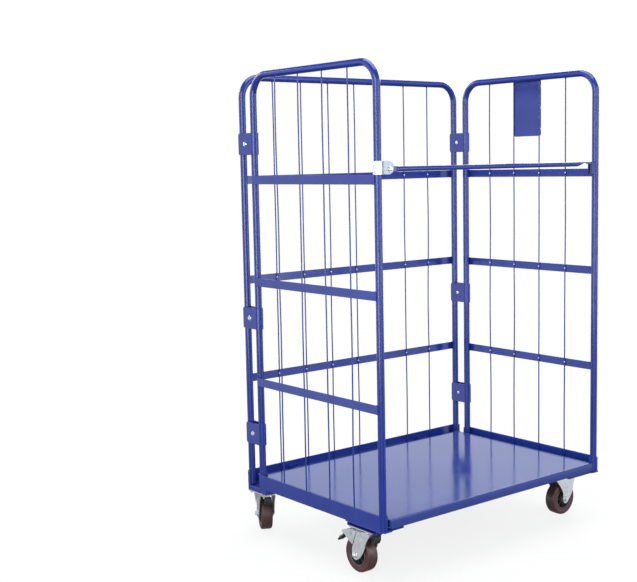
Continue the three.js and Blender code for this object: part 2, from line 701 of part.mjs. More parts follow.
for (const { name, x, y, heading, swivel, plate } of CASTORS) {
  const fixed = new THREE.Group();
  fixed.position.set(x, y, 0);
  const turned = new THREE.Group();
  turned.position.set(x, y, 0);
  turned.rotation.z = THREE.MathUtils.degToRad(heading);
  cage.add(fixed, turned);
  const trail = swivel ? SWIVEL_TRAIL : 0;
  add(`${name}_tyre`, tyre(trail), treadMaroon, turned);
  add(`${name}_wheel_core`, wheelCore(trail), coreGrey, turned);
  add(`${name}_axle`, axle(trail), zinc, turned);
  if (swivel) {
    add(`${name}_top_plate`, swivelTop(...plate), zinc, fixed);
    add(`${name}_fork`, swivelFork(), zinc, turned);
    add(`${name}_brake_pedal`, brakePedal(), zinc, turned);
    add(`${name}_release_pad`, releasePad(), blackRubber, turned);
  } else {
    add(`${name}_fork`, rigidFork(...plate), zinc, turned);
  }
}

export default cage;
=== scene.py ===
"""Looks of a roll cage container: a wheeled cage with a fixed rear panel, two swinging side panels,
a sheet deck, a retaining bar across the open front and four castors.

Shapes are drawn in millimetres in the frame's axes (+Z up, the open front faces -Y, the ground is
z = 0), and turn to metres when a draft becomes a piece.
"""
import json
import math
import random

import bmesh
import bpy
from mathutils import Matrix, Vector


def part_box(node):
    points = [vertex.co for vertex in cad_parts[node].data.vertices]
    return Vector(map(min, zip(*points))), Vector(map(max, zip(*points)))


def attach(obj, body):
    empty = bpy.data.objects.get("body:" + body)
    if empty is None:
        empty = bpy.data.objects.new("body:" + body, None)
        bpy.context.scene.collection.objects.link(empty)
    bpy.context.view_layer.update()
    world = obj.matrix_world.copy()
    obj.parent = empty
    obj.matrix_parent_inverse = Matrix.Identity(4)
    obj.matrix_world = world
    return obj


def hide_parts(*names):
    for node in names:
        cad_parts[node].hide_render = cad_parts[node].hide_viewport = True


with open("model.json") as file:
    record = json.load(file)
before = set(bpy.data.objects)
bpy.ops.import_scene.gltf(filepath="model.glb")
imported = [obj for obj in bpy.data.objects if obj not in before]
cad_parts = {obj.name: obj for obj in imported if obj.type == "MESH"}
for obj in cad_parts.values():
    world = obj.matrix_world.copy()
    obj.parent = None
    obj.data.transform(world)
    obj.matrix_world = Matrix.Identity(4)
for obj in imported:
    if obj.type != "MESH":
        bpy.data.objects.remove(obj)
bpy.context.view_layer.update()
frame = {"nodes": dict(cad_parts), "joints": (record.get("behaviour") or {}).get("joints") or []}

MM = 0.001
SIDES = {"left": -1, "right": 1}
X = Vector((1, 0, 0))
Y = Vector((0, 1, 0))
Z = Vector((0, 0, 1))

# ---- measures taken from the frame, in millimetres ----
JOINTS = {joint["name"]: joint for joint in frame["joints"]}


def box_mm(node):
    low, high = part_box(node)
    return low / MM, high / MM


def joint_mm(name):
    return Vector(JOINTS[name]["pos_m"]) / MM


panel_low, panel_high = box_mm("right_tube_frame")
TUBE_RADIUS = (panel_high.x - panel_low.x) / 2
POST_X = panel_high.x - TUBE_RADIUS
FRONT_POST_Y = panel_low.y + TUBE_RADIUS
HINGE_POST_Y = panel_high.y - TUBE_RADIUS
REAR_POST_Y = box_mm("rear_tube_frame")[1].y - TUBE_RADIUS
TUBE_TOP = panel_high.z - TUBE_RADIUS
TUBE_FOOT = panel_low.z
RAIL_OUTER = box_mm("right_wire_grid")[1].x - POST_X
WIRE_FOOT = box_mm("right_wire_grid")[0].z
BAND_TOP = box_mm("right_bottom_rail")[1].z
deck_low, deck_high = box_mm("deck_sheet")

# ---- driving dimensions that the frame's boxes don't give, in millimetres ----
TUBE_WALL = 1.5
TUBE_RIM = 0.35                  # chamfer on a tube's cut end
BEND_RADIUS = 75
SHEET = 3                        # thickness of rails, straps and brackets
RAIL_HEIGHT = 30
RAIL_LEVELS = (585, 952, 1319)
RAIL_INNER = RAIL_OUTER - SHEET
WIRE_RADIUS = 2.5
WIRE_FUSE = 0.4                  # how far a wire is sunk into its rail by the weld
WIRE_OFFSET = RAIL_INNER - WIRE_RADIUS + WIRE_FUSE
WIRE_TOP = TUBE_TOP - TUBE_RADIUS + 1
WIRE_BOW = 1.6                   # most that a wire strays sideways between two rails
REAR_WIRE_PITCH = 131
REAR_WIRE_COUNT = 7
SIDE_WIRE_PITCH = 130
SIDE_WIRE_COUNT = 4
SIDE_WIRE_FIRST = {"left": 147, "right": 126.5}   # from the hinge post to the nearest wire
STRAP_CORNER = 7
FOLD = 4                         # radius of the deck's folded edges
DECK_SHEET = 2
DECK_SIDE_LIP = 24
BAR_RADIUS = 8
SLEEVE_SHEET = 2.5
EAR_HALF_GAP = 3.2               # half the room between the sleeve's ears

# The castors are drawn about the mounting axis: the wheel trails towards +X and its axle lies along Y.
WHEEL_RADIUS = 62.5
WHEEL_HALF = 21
CORE_RADIUS = 40
CORE_RIM = CORE_RADIUS - 0.2
CORE_HALF = WHEEL_HALF - 1.2
FORK_INNER = 26.5
FORK_OUTER = FORK_INNER + 3.5
HUB_END = FORK_INNER - 3.6       # outer face of the bearing's dust caps
TRAIL = 39
CASTOR_TOP = 165
CROWN_TOP = 150
PEDAL_PIVOT = (56, 136)
CHEEK_INNER = FORK_OUTER + 0.5   # the pedal's cheeks lie outside the fork's legs
CHEEK_OUTER = CHEEK_INNER + 2.5
RIGID_PLATE = (112, 85)          # length and width of a rigid castor's mounting plate
PLATE_BOLT_INSET = 11

NEARLY_STRAIGHT = math.radians(88)   # half of a corner's angle, above which it isn't rounded


# ---- mesh drafts ----
def turned_about(axis):
    """Two directions at right angles to axis and to each other."""
    side = X if abs(axis.x) < 0.9 else Y
    first = (side - axis * side.dot(axis)).normalized()
    return first, axis.cross(first)


def oval_ring(centre, first, second, sides, blunt=(1, 1), start=0):
    """Points on an ellipse with two half axes. It squares off as blunt goes from 1 towards 0."""
    ring = []
    for i in range(sides):
        angle = 2 * math.pi * (i + start) / sides
        c, s = math.cos(angle), math.sin(angle)
        ring.append(centre + first * math.copysign(abs(c) ** blunt[0], c)
                    + second * math.copysign(abs(s) ** blunt[1], s))
    return ring


def circle_ring(centre, axis, radius, sides):
    first, second = turned_about(axis)
    return oval_ring(centre, first * radius, second * radius, sides)


def add_rings(bm, rings, loop=False):
    """Joins rings of equally many points into a tube. Its ends are closed, or meet if loop is set."""
    rows = [[bm.verts.new(point) for point in ring] for ring in rings]
    count = len(rows[0])
    pairs = list(zip(rows, rows[1:]))
    if loop:
        pairs.append((rows[-1], rows[0]))
    for lower, upper in pairs:
        for i in range(count):
            j = (i + 1) % count
            bm.faces.new((lower[i], lower[j], upper[j], upper[i]))
    if not loop:
        bm.faces.new(rows[0][::-1])
        bm.faces.new(rows[-1])
    return [vertex for row in rows for vertex in row]


def add_lathe(bm, profile, centre, axis, sides=48, loop=False):
    """Turns a profile of (radius, distance along axis). With loop set the profile is a closed outline."""
    rings = [circle_ring(centre + axis * along, axis, radius, sides) for radius, along in profile]
    return add_rings(bm, rings, loop)


def add_prism(bm, outline, place, low, high):
    """An outline of (u, v) made solid from low to high. place(u, v, w) turns it into points."""
    return add_rings(bm, [[Vector(place(u, v, level)) for u, v in outline] for level in (low, high)])


def flat(u, v, w):
    return u, v, w


def side_on(u, v, w):
    return u, w, v


def end_on(u, v, w):
    return w, u, v


def round_edges(bm, vertices, width, segments=2, sharper_than=30):
    """Rounds the sharp edges among these vertices."""
    chosen = set(vertices)
    bm.normal_update()
    edges = []
    for edge in bm.edges:
        if edge.verts[0] in chosen and edge.verts[1] in chosen and len(edge.link_faces) == 2:
            if edge.calc_face_angle(0) > math.radians(sharper_than):
                edges.append(edge)
    bmesh.ops.bevel(bm, geom=edges, offset=width, segments=segments, profile=0.5, affect="EDGES",
                    clamp_overlap=True)


def merge_draft(bm, draft, matrix=None):
    """Moves a finished draft into a bigger one."""
    if matrix is not None:
        bmesh.ops.transform(draft, matrix=matrix, verts=draft.verts)
    mesh = bpy.data.meshes.new("draft")
    draft.to_mesh(mesh)
    draft.free()
    bm.from_mesh(mesh)
    bpy.data.meshes.remove(mesh)


def add_plate(bm, outline, place, low, high, edge=0.5):
    """A flat plate with rounded edges."""
    draft = bmesh.new()
    round_edges(draft, add_prism(draft, outline, place, low, high), edge)
    bmesh.ops.recalc_face_normals(draft, faces=draft.faces)
    merge_draft(bm, draft)


def oblong(low_u, low_v, high_u, high_v):
    return [(low_u, low_v), (high_u, low_v), (high_u, high_v), (low_u, high_v)]


def arc(centre_u, centre_v, radius, start, end, pieces):
    points = []
    for i in range(pieces + 1):
        angle = math.radians(start + (end - start) * i / pieces)
        points.append((centre_u + radius * math.cos(angle), centre_v + radius * math.sin(angle)))
    return points


def rounded_outline(corners, radius, pieces=4):
    """A closed outline with each corner replaced by an arc. A corner may carry its own radius."""
    outline = []
    count = len(corners)
    for i, corner in enumerate(corners):
        here = Vector(corner[:2])
        size = corner[2] if len(corner) > 2 else radius
        before = (Vector(corners[i - 1][:2]) - here).normalized()
        after = (Vector(corners[(i + 1) % count][:2]) - here).normalized()
        half = before.angle(after) / 2
        if half > NEARLY_STRAIGHT:
            outline.append(tuple(here))
            continue
        run = size / math.tan(half)
        start = here + before * run
        end = here + after * run
        centre = here + (before + after).normalized() * (size / math.sin(half))
        first = math.atan2(start.y - centre.y, start.x - centre.x)
        turn = math.atan2(end.y - centre.y, end.x - centre.x) - first
        turn = math.degrees((turn + math.pi) % (2 * math.pi) - math.pi)
        outline += arc(*centre, size, math.degrees(first), math.degrees(first) + turn, pieces)
    return outline


def smooth_path(points, steps=8):
    """A Catmull-Rom curve through points."""
    padded = [points[0], *points, points[-1]]
    curve = []
    for a, b, c, d in zip(padded, padded[1:], padded[2:], padded[3:]):
        a, b, c, d = map(Vector, (a, b, c, d))
        for k in range(steps):
            t = k / steps
            curve.append(tuple(0.5 * (2 * b + (c - a) * t + (2 * a - 5 * b + 4 * c - d) * t * t
                                      + (3 * b - a - 3 * c + d) * t ** 3)))
    curve.append(points[-1])
    return curve


def eased(share):
    """Goes from 0 to 1 with a level start and end."""
    return share * share * (3 - 2 * share)


def mirrored(profile):
    """A lathe profile closed by its mirror image."""
    return profile + [(radius, -across) for radius, across in reversed(profile)]


def heading_at(path, i):
    """Which way a path in a plane runs at its point i."""
    return (Vector(path[min(i + 1, len(path) - 1)]) - Vector(path[max(i - 1, 0)])).normalized()


def denser(path, step):
    """The same path with points no further apart than step."""
    points = [path[0]]
    for a, b in zip(path, path[1:]):
        start, end = Vector(a), Vector(b)
        count = max(1, math.ceil((end - start).length / step))
        points += [tuple(start.lerp(end, (k + 1) / count)) for k in range(count)]
    return points


def add_ribbon(bm, path, low, high, corner, thickness, edge=0.5, blunt=0.0):
    """Sheet metal bent along a path in plan, from low to high. Its free corners are rounded, and blunt
    keeps a corner as big as half the height from running to a point."""
    draft = bmesh.new()
    middle, half = (low + high) / 2, (high - low) / 2
    total = sum((Vector(b) - Vector(a)).length for a, b in zip(path, path[1:]))
    rings = []
    travelled = 0
    for i, point in enumerate(path):
        here = Vector(point)
        travelled += (here - Vector(path[max(i - 1, 0)])).length
        from_end = min(travelled, total - travelled) + blunt
        reach = half
        if from_end < corner:
            reach += math.sqrt(max(0, corner ** 2 - (corner - from_end) ** 2)) - corner
        forward = heading_at(path, i)
        out = Vector((forward.y, -forward.x)) * thickness / 2
        ring = []
        for at, way in ((here + out, -1), (here + out, 1), (here - out, 1), (here - out, -1)):
            ring.append(Vector((at.x, at.y, middle + way * reach)))
        rings.append(ring)
    round_edges(draft, add_rings(draft, rings), edge, sharper_than=50)
    bmesh.ops.recalc_face_normals(draft, faces=draft.faces)
    merge_draft(bm, draft)


def add_weld(bm, start, end, radius, seed):
    """A weld bead: a lumpy ridge from start to end."""
    rng = random.Random(seed)
    length = (end - start).length
    axis = (end - start).normalized()
    count = max(4, round(length / 1.2))
    rings = []
    for i in range(count + 1):
        share = i / count
        taper = math.sqrt(max(0.08, 1 - (2 * share - 1) ** 4))
        ripple = 1 + 0.13 * math.sin(i * 2.1) + rng.uniform(-0.07, 0.07)
        rings.append(circle_ring(start.lerp(end, share), axis, radius * taper * ripple, 8))
    add_rings(bm, rings)


def add_spot(bm, centre, normal, radius, height, seed):
    """A small domed weld spot, sunk into the surface under it."""
    rng = random.Random(seed)
    lean = Vector((rng.uniform(-1, 1), rng.uniform(-1, 1), rng.uniform(-1, 1))) * 0.12
    profile = [(radius * 1.05, -0.5), (radius, 0.1), (radius * 0.82, height * 0.62),
               (radius * 0.45, height * 0.93), (radius * 0.15, height)]
    add_lathe(bm, profile, centre, (normal + lean).normalized(), sides=10)


def add_to_scene(name, data):
    thing = bpy.data.objects.new(name, data)
    bpy.context.scene.collection.objects.link(thing)
    return thing


def make_object(bm, name, material):
    """Turns a draft in millimetres into an object in metres."""
    bmesh.ops.recalc_face_normals(bm, faces=bm.faces)
    mesh = bpy.data.meshes.new(name)
    bm.to_mesh(mesh)
    bm.free()
    mesh.transform(Matrix.Scale(MM, 4))
    mesh.materials.append(material)
    return add_to_scene(name, mesh)


def make_piece(bm, name, body, finish, replaced=(), sharp=38):
    """Turns a draft in millimetres into a piece that rides on a body."""
    slot, material = finish
    piece = make_object(bm, name, material)
    piece.data.shade_smooth()
    piece.data.set_sharp_from_angle(angle=math.radians(sharp))
    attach(piece, body)
    if replaced:
        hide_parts(*replaced)
    even_shading(piece)
    return piece


def even_shading(piece):
    """Keeps flat faces flat in the light, next to their rounded edges."""
    modifier = piece.modifiers.new("even_shading", "WEIGHTED_NORMAL")
    modifier.keep_sharp = True
    modifier.weight = 100


def make_pressed(node, name, body, edge=0.6):
    """A CAD node's own shape with its sharp edges rounded as pressed sheet is."""
    bm = bmesh.new()
    bm.from_mesh(frame["nodes"][node].data)
    bmesh.ops.scale(bm, vec=(1 / MM,) * 3, verts=bm.verts)
    bmesh.ops.remove_doubles(bm, verts=bm.verts, dist=0.005)
    bmesh.ops.dissolve_limit(bm, angle_limit=math.radians(0.8), verts=bm.verts, edges=bm.edges)
    round_edges(bm, bm.verts, edge, sharper_than=35)
    make_piece(bm, name, body, BLUE, [node])


# ---- materials ----
class Shading:
    """The node tree of a material or of the world."""

    def __init__(self, owner):
        owner.use_nodes = True
        self.owner = owner
        self.tree = owner.node_tree
        self.coordinates = self.add("TexCoord").outputs
        self.place = self.coordinates["Object"]

    def feed(self, socket, value):
        """Sets a socket to a number, vector or colour, or links another node's output to it."""
        if isinstance(value, bpy.types.NodeSocket):
            self.tree.links.new(value, socket)
        else:
            socket.default_value = (*value, 1) if socket.type == "RGBA" else value

    def add(self, kind, inputs=None, **settings):
        node = self.tree.nodes.new(f"ShaderNode{kind}")
        for key, value in settings.items():
            setattr(node, key, value)
        for key, value in (inputs or {}).items():
            self.feed(node.inputs[key], value)
        return node

    def noise(self, scale, detail=3.0, roughness=0.55, place=None):
        """Noise with scale in turns per metre."""
        place = self.place if place is None else place
        inputs = {"Vector": place, "Scale": scale, "Detail": detail, "Roughness": roughness}
        return self.add("TexNoise", inputs).outputs["Fac"]

    def ramp(self, factor, *stops):
        """A ramp of positions and colours. A grey may be a single number."""
        node = self.add("ValToRGB", {"Fac": factor})
        elements = node.color_ramp.elements
        while len(elements) < len(stops):
            elements.new(0.5)
        for element, (position, color) in zip(elements, stops):
            element.position = position
            element.color = (*color, 1) if isinstance(color, tuple) else (color, color, color, 1)
        return node.outputs["Color"]

    def map_range(self, value, low, high, to_low=0.0, to_high=1.0, shape="LINEAR"):
        inputs = {"Value": value, "From Min": low, "From Max": high, "To Min": to_low, "To Max": to_high}
        return self.add("MapRange", inputs, interpolation_type=shape).outputs["Result"]

    def spread(self, factor, low, high):
        """Maps the middle of a noise onto low to high."""
        return self.map_range(factor, 0.25, 0.75, low, high)

    def mix(self, factor, first, second, blend="MIX"):
        inputs = {0: factor, 6: first, 7: second}
        return self.add("Mix", inputs, data_type="RGBA", blend_type=blend).outputs[2]

    def maths(self, operation, *values):
        return self.add("Math", dict(enumerate(values)), operation=operation).outputs["Value"]

    def marked(self, attribute):
        """How strongly the mesh is marked with an attribute."""
        return self.add("Attribute", attribute_name=attribute).outputs["Fac"]

    def finish(self, slot, color, roughness, relief=None, **others):
        """Joins up the material. Gives what make_piece needs: the record's slot and the material.
        relief is a height with the strength and distance of its bump."""
        sockets = {"Base Color": color, "Roughness": roughness}
        sockets.update({key.replace("_", " "): value for key, value in others.items()})
        if relief:
            bump = self.add("Bump", dict(zip(("Height", "Strength", "Distance"), relief)))
            sockets["Normal"] = bump.outputs["Normal"]
        for key, value in sockets.items():
            self.feed(self.tree.nodes["Principled BSDF"].inputs[key], value)
        return slot, self.owner


def powder_coat(name, bare_metal_and_highlight):
    """Semi-gloss blue powder coat: orange peel, faint mottling, and thin film along the edges.
    Its second argument paints a pale lilac on the marks of spot welds: partly the metal under the coat
    showing through, partly a painted highlight."""
    coat = Shading(bpy.data.materials.new(name))
    base = coat.ramp(coat.noise(9, 4), (0.3, (0.011, 0.026, 0.205)), (0.7, (0.015, 0.034, 0.245)))
    specks = coat.ramp(coat.noise(650, 2), (0.35, 0.93), (0.65, 1.0))
    color = coat.mix(1.0, base, specks, "MULTIPLY")
    edges = coat.map_range(coat.add("NewGeometry").outputs["Pointiness"], 0.56, 0.72)
    thin = coat.mix(edges, color, (0.03, 0.052, 0.29))
    # Pale lilac on weld marks: partly bare metal, partly painted highlight.
    with_weld_highlight = coat.mix(bare_metal_and_highlight, thin, (0.55, 0.57, 0.72))
    roughness = coat.spread(coat.noise(24), 0.11, 0.17)
    return coat.finish("blue_powder_coat", with_weld_highlight, roughness, (coat.noise(420, 1.5), 0.16, 0.0004), IOR=1.5)


def deck_paint():
    """The same blue on a flat sheet, glossier, with hair scratches and dust from goods slid over it."""
    paint = Shading(bpy.data.materials.new("deck_paint"))
    base = paint.ramp(paint.noise(5, 5), (0.3, (0.012, 0.031, 0.205)), (0.7, (0.018, 0.041, 0.245)))
    stretched = paint.add("Mapping", {"Vector": paint.place, "Scale": (0.35, 9.0, 1.0)}).outputs["Vector"]
    scratches = paint.ramp(paint.noise(60, 6, 0.7, stretched), (0.60, 0.0), (0.70, 1.0))
    color = paint.mix(scratches, base, (0.032, 0.054, 0.27))
    shine = paint.spread(paint.noise(14, 5), 0.10, 0.17)
    roughness = paint.maths("MULTIPLY_ADD", scratches, 0.06, shine)
    return paint.finish("deck_paint", color, roughness, (paint.noise(260, 1.5), 0.07, 0.0004), IOR=1.55)


def zinc_plate(name, tone, roughness):
    """Zinc plating: a faint crystal pattern and cloudy passivation, with a darker blue-grey painted shade
    where the mesh is marked for it."""
    zinc = Shading(bpy.data.materials.new(name))
    crystal = zinc.add("TexVoronoi", {"Vector": zinc.place, "Scale": 330}).outputs["Distance"]
    flecks = zinc.ramp(crystal, (0.0, 0.86), (0.6, 1.0))
    tints = ((0.32, (0.60, 0.62, 0.63)), (0.5, (0.72, 0.74, 0.75)), (0.7, (0.74, 0.73, 0.68)))
    stops = [(position, tuple(tone * value for value in tint)) for position, tint in tints]
    # A darker blue-grey where the mesh is marked: painted shade.
    passivation_and_painted_shade = zinc.mix(zinc.marked("painted_ear_shade"), zinc.ramp(zinc.noise(70, 4), *stops), (0.27, 0.31, 0.35))
    color = zinc.mix(1.0, passivation_and_painted_shade, flecks, "MULTIPLY")
    haze = zinc.spread(zinc.noise(160, 3), *roughness)
    return zinc.finish("zinc_plate", color, haze, (zinc.noise(900, 2), 0.10, 0.0002), Metallic=1.0)


def tread_rubber():
    """Cast maroon polyurethane with a waxy bloom and dust; its running surface is darker brown-grey, partly
    real dust and scuffs, partly painted shade.
    """
    tread = Shading(bpy.data.materials.new("tread"))
    base = tread.ramp(tread.noise(60, 5), (0.28, (0.036, 0.006, 0.008)), (0.5, (0.066, 0.010, 0.013)),
                      (0.75, (0.095, 0.018, 0.020)))
    # Darker brown-grey on the running surface: partly real dust, partly painted shade.
    dark_dust_and_shade = tread.ramp(tread.noise(35, 6, 0.7), (0.35, (0.022, 0.018, 0.017)),
                       (0.55, (0.040, 0.032, 0.030)), (0.7, (0.062, 0.042, 0.040)))
    tread_with_dust_and_shade = tread.mix(tread.spread(tread.marked("dust_and_shade_mask"), 0.0, 0.5), base, dark_dust_and_shade)
    dust = tread.ramp(tread.noise(260, 6), (0.55, 0.0), (0.75, 0.3))
    color = tread.mix(dust, tread_with_dust_and_shade, (0.12, 0.10, 0.09))
    roughness = tread.spread(tread.noise(120, 4), 0.28, 0.5)
    return tread.finish("tread", color, roughness, (tread.noise(500, 4), 0.2, 0.0004),
                        Coat_Weight=0.15, Coat_Roughness=0.3)


def moulded(name, slot, dark, light, roughness, strength=0.2):
    """Moulded plastic or rubber: a dark and a light tone, with a fine grain."""
    plastic = Shading(bpy.data.materials.new(name))
    cloud = plastic.noise(45, 4)
    grain = plastic.noise(900, 3)
    flecks = plastic.ramp(grain, (0.35, 0.85), (0.65, 1.0))
    color = plastic.mix(1.0, plastic.ramp(cloud, (0.3, dark), (0.7, light)), flecks, "MULTIPLY")
    haze = plastic.spread(cloud, roughness - 0.06, roughness + 0.08)
    return plastic.finish(slot, color, haze, (grain, strength, 0.0003))


def floor_paint():
    """A pale, faintly mottled studio floor that thins out to nothing, so that it neither glares nor ends."""
    floor = Shading(bpy.data.materials.new("studio_floor"))
    cloud = floor.noise(1.5, 4)
    reach = floor.add("VectorMath", {0: floor.place}, operation="LENGTH").outputs["Value"]
    fade = floor.map_range(reach, 0.5, 1.9, 0.09, 0.0, "SMOOTHSTEP")
    color = floor.ramp(cloud, (0.3, 0.84), (0.7, 0.88))
    sockets = {"Specular IOR Level": 0.2, "Alpha": fade}
    return floor.finish("studio_floor", color, floor.spread(cloud, 0.55, 0.65), **sockets)[1]


BLUE = powder_coat("blue_powder_coat", 0.0)
# Weld marks: a pale lilac, partly bare metal and partly painted highlight.
WELD_HIGHLIGHT_BLUE = powder_coat("weld_highlight_powder_coat", 0.8)
DECK = deck_paint()
ZINC = zinc_plate("zinc_plate", 1.12, (0.27, 0.42))
STEEL = zinc_plate("plain_steel", 0.8, (0.3, 0.45))
TREAD = tread_rubber()
CORE = moulded("wheel_core", "wheel_core", (0.018, 0.020, 0.022), (0.035, 0.038, 0.04), 0.42)
RING = moulded("core_ring", "wheel_core", (0.12, 0.125, 0.13), (0.18, 0.185, 0.19), 0.4)
PAD = moulded("pad_rubber", "pad_rubber", (0.010, 0.011, 0.012), (0.022, 0.023, 0.024), 0.55, strength=0.35)


# ---- fasteners, each drawn along an axis that points out of the surface it sits on ----
def add_hex(bm, centre, axis, across, height, chamfer_both=False):
    """A hexagon head or nut with its corners turned off."""
    first, second = turned_about(axis)
    inner = across / 2
    sector = math.radians(60)

    def ring(level, most, cone_up):
        points = []
        for i in range(36):
            angle = 2 * math.pi * i / 36
            to_side = inner / math.cos((angle + sector / 2) % sector - sector / 2)
            cut = (to_side - inner) * math.tan(math.radians(30)) * cone_up
            direction = first * math.cos(angle) + second * math.sin(angle)
            points.append(centre + direction * min(to_side, most) + axis * (level - cut))
        return points

    rings = [ring(0, across, 0), ring(height, across, 1), ring(height, inner * 0.985, 0)]
    if chamfer_both:
        rings[0] = ring(0, across, -1)
        rings.insert(0, ring(0, inner * 0.985, 0))
    rings.append(circle_ring(centre + axis * (height + 0.02), axis, inner * 0.6, 36))
    add_rings(bm, rings)


def add_washer(bm, centre, axis, inner, outer, thickness):
    edge = thickness * 0.25
    profile = [(inner, 0), (outer - edge, 0), (outer, edge), (outer, thickness - edge),
               (outer - edge, thickness), (inner, thickness)]
    add_lathe(bm, profile, centre, axis, sides=32, loop=True)


def add_nut(bm, centre, axis, across, height, radius, bolt_out, pitch=1.2):
    """A lock nut with its round collar, and the threaded bolt end standing out of it."""
    add_hex(bm, centre, axis, across, height * 0.72, chamfer_both=True)
    collar = across * 0.44
    profile = [(radius, height * 0.6), (collar, height * 0.6), (collar, height * 0.85),
               (collar - 1.2, height), (radius, height)]
    add_lathe(bm, profile, centre, axis, sides=32, loop=True)
    length = bolt_out + 1
    thread = [(radius - 0.1, 0)]
    for i in range(max(1, int(length / pitch))):
        thread += [(radius, (i + 0.25) * pitch), (radius - 0.55, (i + 0.75) * pitch)]
    thread += [(radius - 0.5, length - 0.7), (radius - 1.3, length)]
    add_lathe(bm, thread, centre + axis * (height - 1), axis, sides=20)


# ---- rear and side panels ----
def arch_route(start, end, place):
    """Points and directions of an arch: up a post, round a bend, along the top and down again."""
    bend_height = TUBE_TOP - BEND_RADIUS
    route = [(place(start, TUBE_FOOT), Z)]
    for centre, first in ((start + BEND_RADIUS, 180), (end - BEND_RADIUS, 90)):
        for across, up in arc(0, 0, 1, first, first - 90, 14):
            point = place(centre + BEND_RADIUS * across, bend_height + BEND_RADIUS * up)
            ahead = place(centre + BEND_RADIUS * across + up, bend_height + BEND_RADIUS * up - across)
            route.append((point, (ahead - point).normalized()))
    route.append((place(end, TUBE_FOOT), -Z))
    return route


def add_arch(bm, route, face):
    """A hollow tube along a route that lies in a plane at right angles to face."""
    def rings(radius, stations):
        return [oval_ring(point, face * radius, face.cross(way) * radius, 32) for point, way in stations]

    (foot, _), (far_foot, _) = route[0], route[-1]
    rims = [(foot, Z), (far_foot, -Z)]
    outer = [(foot + Z * TUBE_RIM, Z), *route[1:-1], (far_foot + Z * TUBE_RIM, -Z)]
    cut, far_cut = rings(TUBE_RADIUS - TUBE_RIM, rims)
    outer = [cut, *rings(TUBE_RADIUS, outer), far_cut]
    add_rings(bm, outer + rings(TUBE_RADIUS - TUBE_WALL, route)[::-1], loop=True)


def add_wire(bm, foot, seed):
    """An upright wire, bowed a little between its welds, its ends rounded by shears."""
    rng = random.Random(seed)
    centres = []
    spans = [foot.z, *RAIL_LEVELS, WIRE_TOP]
    for low, high in zip(spans, spans[1:]):
        bow = Vector((rng.uniform(-1, 1), rng.uniform(-1, 1), 0)) * WIRE_BOW
        for k in range(1, 9):
            level = Vector((foot.x, foot.y, low + (high - low) * k / 8))
            centres.append(level + bow * math.sin(math.pi * k / 8))
    top = centres.pop()
    sections = [(foot, WIRE_RADIUS * 0.7), (foot + Z * 0.8, WIRE_RADIUS)]
    sections += [(centre, WIRE_RADIUS) for centre in centres]
    sections += [(top - Z * 0.8, WIRE_RADIUS), (top, WIRE_RADIUS * 0.7)]
    add_rings(bm, [circle_ring(centre, Z, radius, 12) for centre, radius in sections])


def make_panel(prefix, body, origin, out, ends, wire_runs, seed, post_seeds):
    """A tube frame with rails, wires and the welds that join them. It stands in a plane through
    origin, and out points out of the cage. ends are how far along the plane its two posts stand,
    and wire_runs its wires."""
    across = Vector((-out.y, out.x, 0))
    along = Vector(map(abs, across))

    def place(run, z=0, proud=0):
        return origin + along * run + out * proud + Z * z

    tubes, rails, wires, marks, welds = (bmesh.new() for _ in range(5))
    add_arch(tubes, arch_route(*ends, place), Vector(map(abs, out)))
    for level in RAIL_LEVELS:
        near = place(ends[0], level - RAIL_HEIGHT / 2, RAIL_INNER)
        far = place(ends[1], level + RAIL_HEIGHT / 2, RAIL_OUTER)
        low, high = Vector(map(min, near, far)), Vector(map(max, near, far))
        add_plate(rails, oblong(low.x, low.y, high.x, high.y), flat, low.z, high.z, edge=0.7)
    for i, run in enumerate(wire_runs):
        wire = place(run, 0, WIRE_OFFSET)
        add_wire(wires, wire + Z * WIRE_FOOT, seed + i)
        for k, level in enumerate(RAIL_LEVELS):
            for side in (-1, 1):
                at = wire + out * (WIRE_RADIUS - 0.7) + across * side * (WIRE_RADIUS - 0.4) + Z * level
                add_weld(welds, at - Z * 4, at + Z * 4, 1.3, seed * 10 + i * 6 + k * 2 + side)
            dent = wire - out * (WIRE_RADIUS - 0.9) + Z * level
            add_spot(marks, dent, -out, 3.5, 2.0, seed * 10 + i * 7 + k)
        # The wire is tacked to the underside of the top tube, and to the band at its foot.
        add_spot(welds, wire + Z * (WIRE_TOP + 0.4), -Z, 4.3, 2.6, seed + 40 + i)
        tack = wire + out * (WIRE_RADIUS + 0.2) + Z * (BAND_TOP - 1.5)
        add_weld(welds, tack - Z * 6, tack + Z * 0.5, 2.4, seed + 80 + i)
    for post, inward, post_seed in zip(ends, (1, -1), post_seeds):
        for level in RAIL_LEVELS:
            for edge in (-1, 1):
                at = place(post + inward, level + edge * (RAIL_HEIGHT / 2 - 0.6), TUBE_RADIUS + 0.2)
                add_weld(welds, at, at + along * inward * 11, 1.5, post_seed + level + edge)

    make_piece(tubes, f"{prefix}_tubes", body, BLUE, [f"{prefix}_tube_frame"])
    make_piece(rails, f"{prefix}_rails", body, BLUE, [f"{prefix}_wire_grid"])
    make_piece(wires, f"{prefix}_wires", body, BLUE)
    # The weld marks carry a pale lilac, partly bare metal and partly painted highlight.
    make_piece(marks, f"{prefix}_weld_marks", body, WELD_HIGHLIGHT_BLUE)
    make_piece(welds, f"{prefix}_welds", body, BLUE)
    make_pressed(f"{prefix}_bottom_rail", f"{prefix}_lower_band", body)


def make_rear_panel():
    middle = (REAR_WIRE_COUNT - 1) / 2
    wires = [(i - middle) * REAR_WIRE_PITCH for i in range(REAR_WIRE_COUNT)]
    make_panel("rear", "rear_frame", Y * REAR_POST_Y, Y, (-POST_X, POST_X), wires, 100, (299, 301))


def make_side_panel(name, side):
    first = HINGE_POST_Y - SIDE_WIRE_FIRST[name]
    wires = [first - SIDE_WIRE_PITCH * i for i in range(SIDE_WIRE_COUNT)]
    make_panel(name, f"{name}_panel", X * side * POST_X, X * side, (FRONT_POST_Y, HINGE_POST_Y), wires,
               400 + 200 * side, (901 + side, 899 + side))


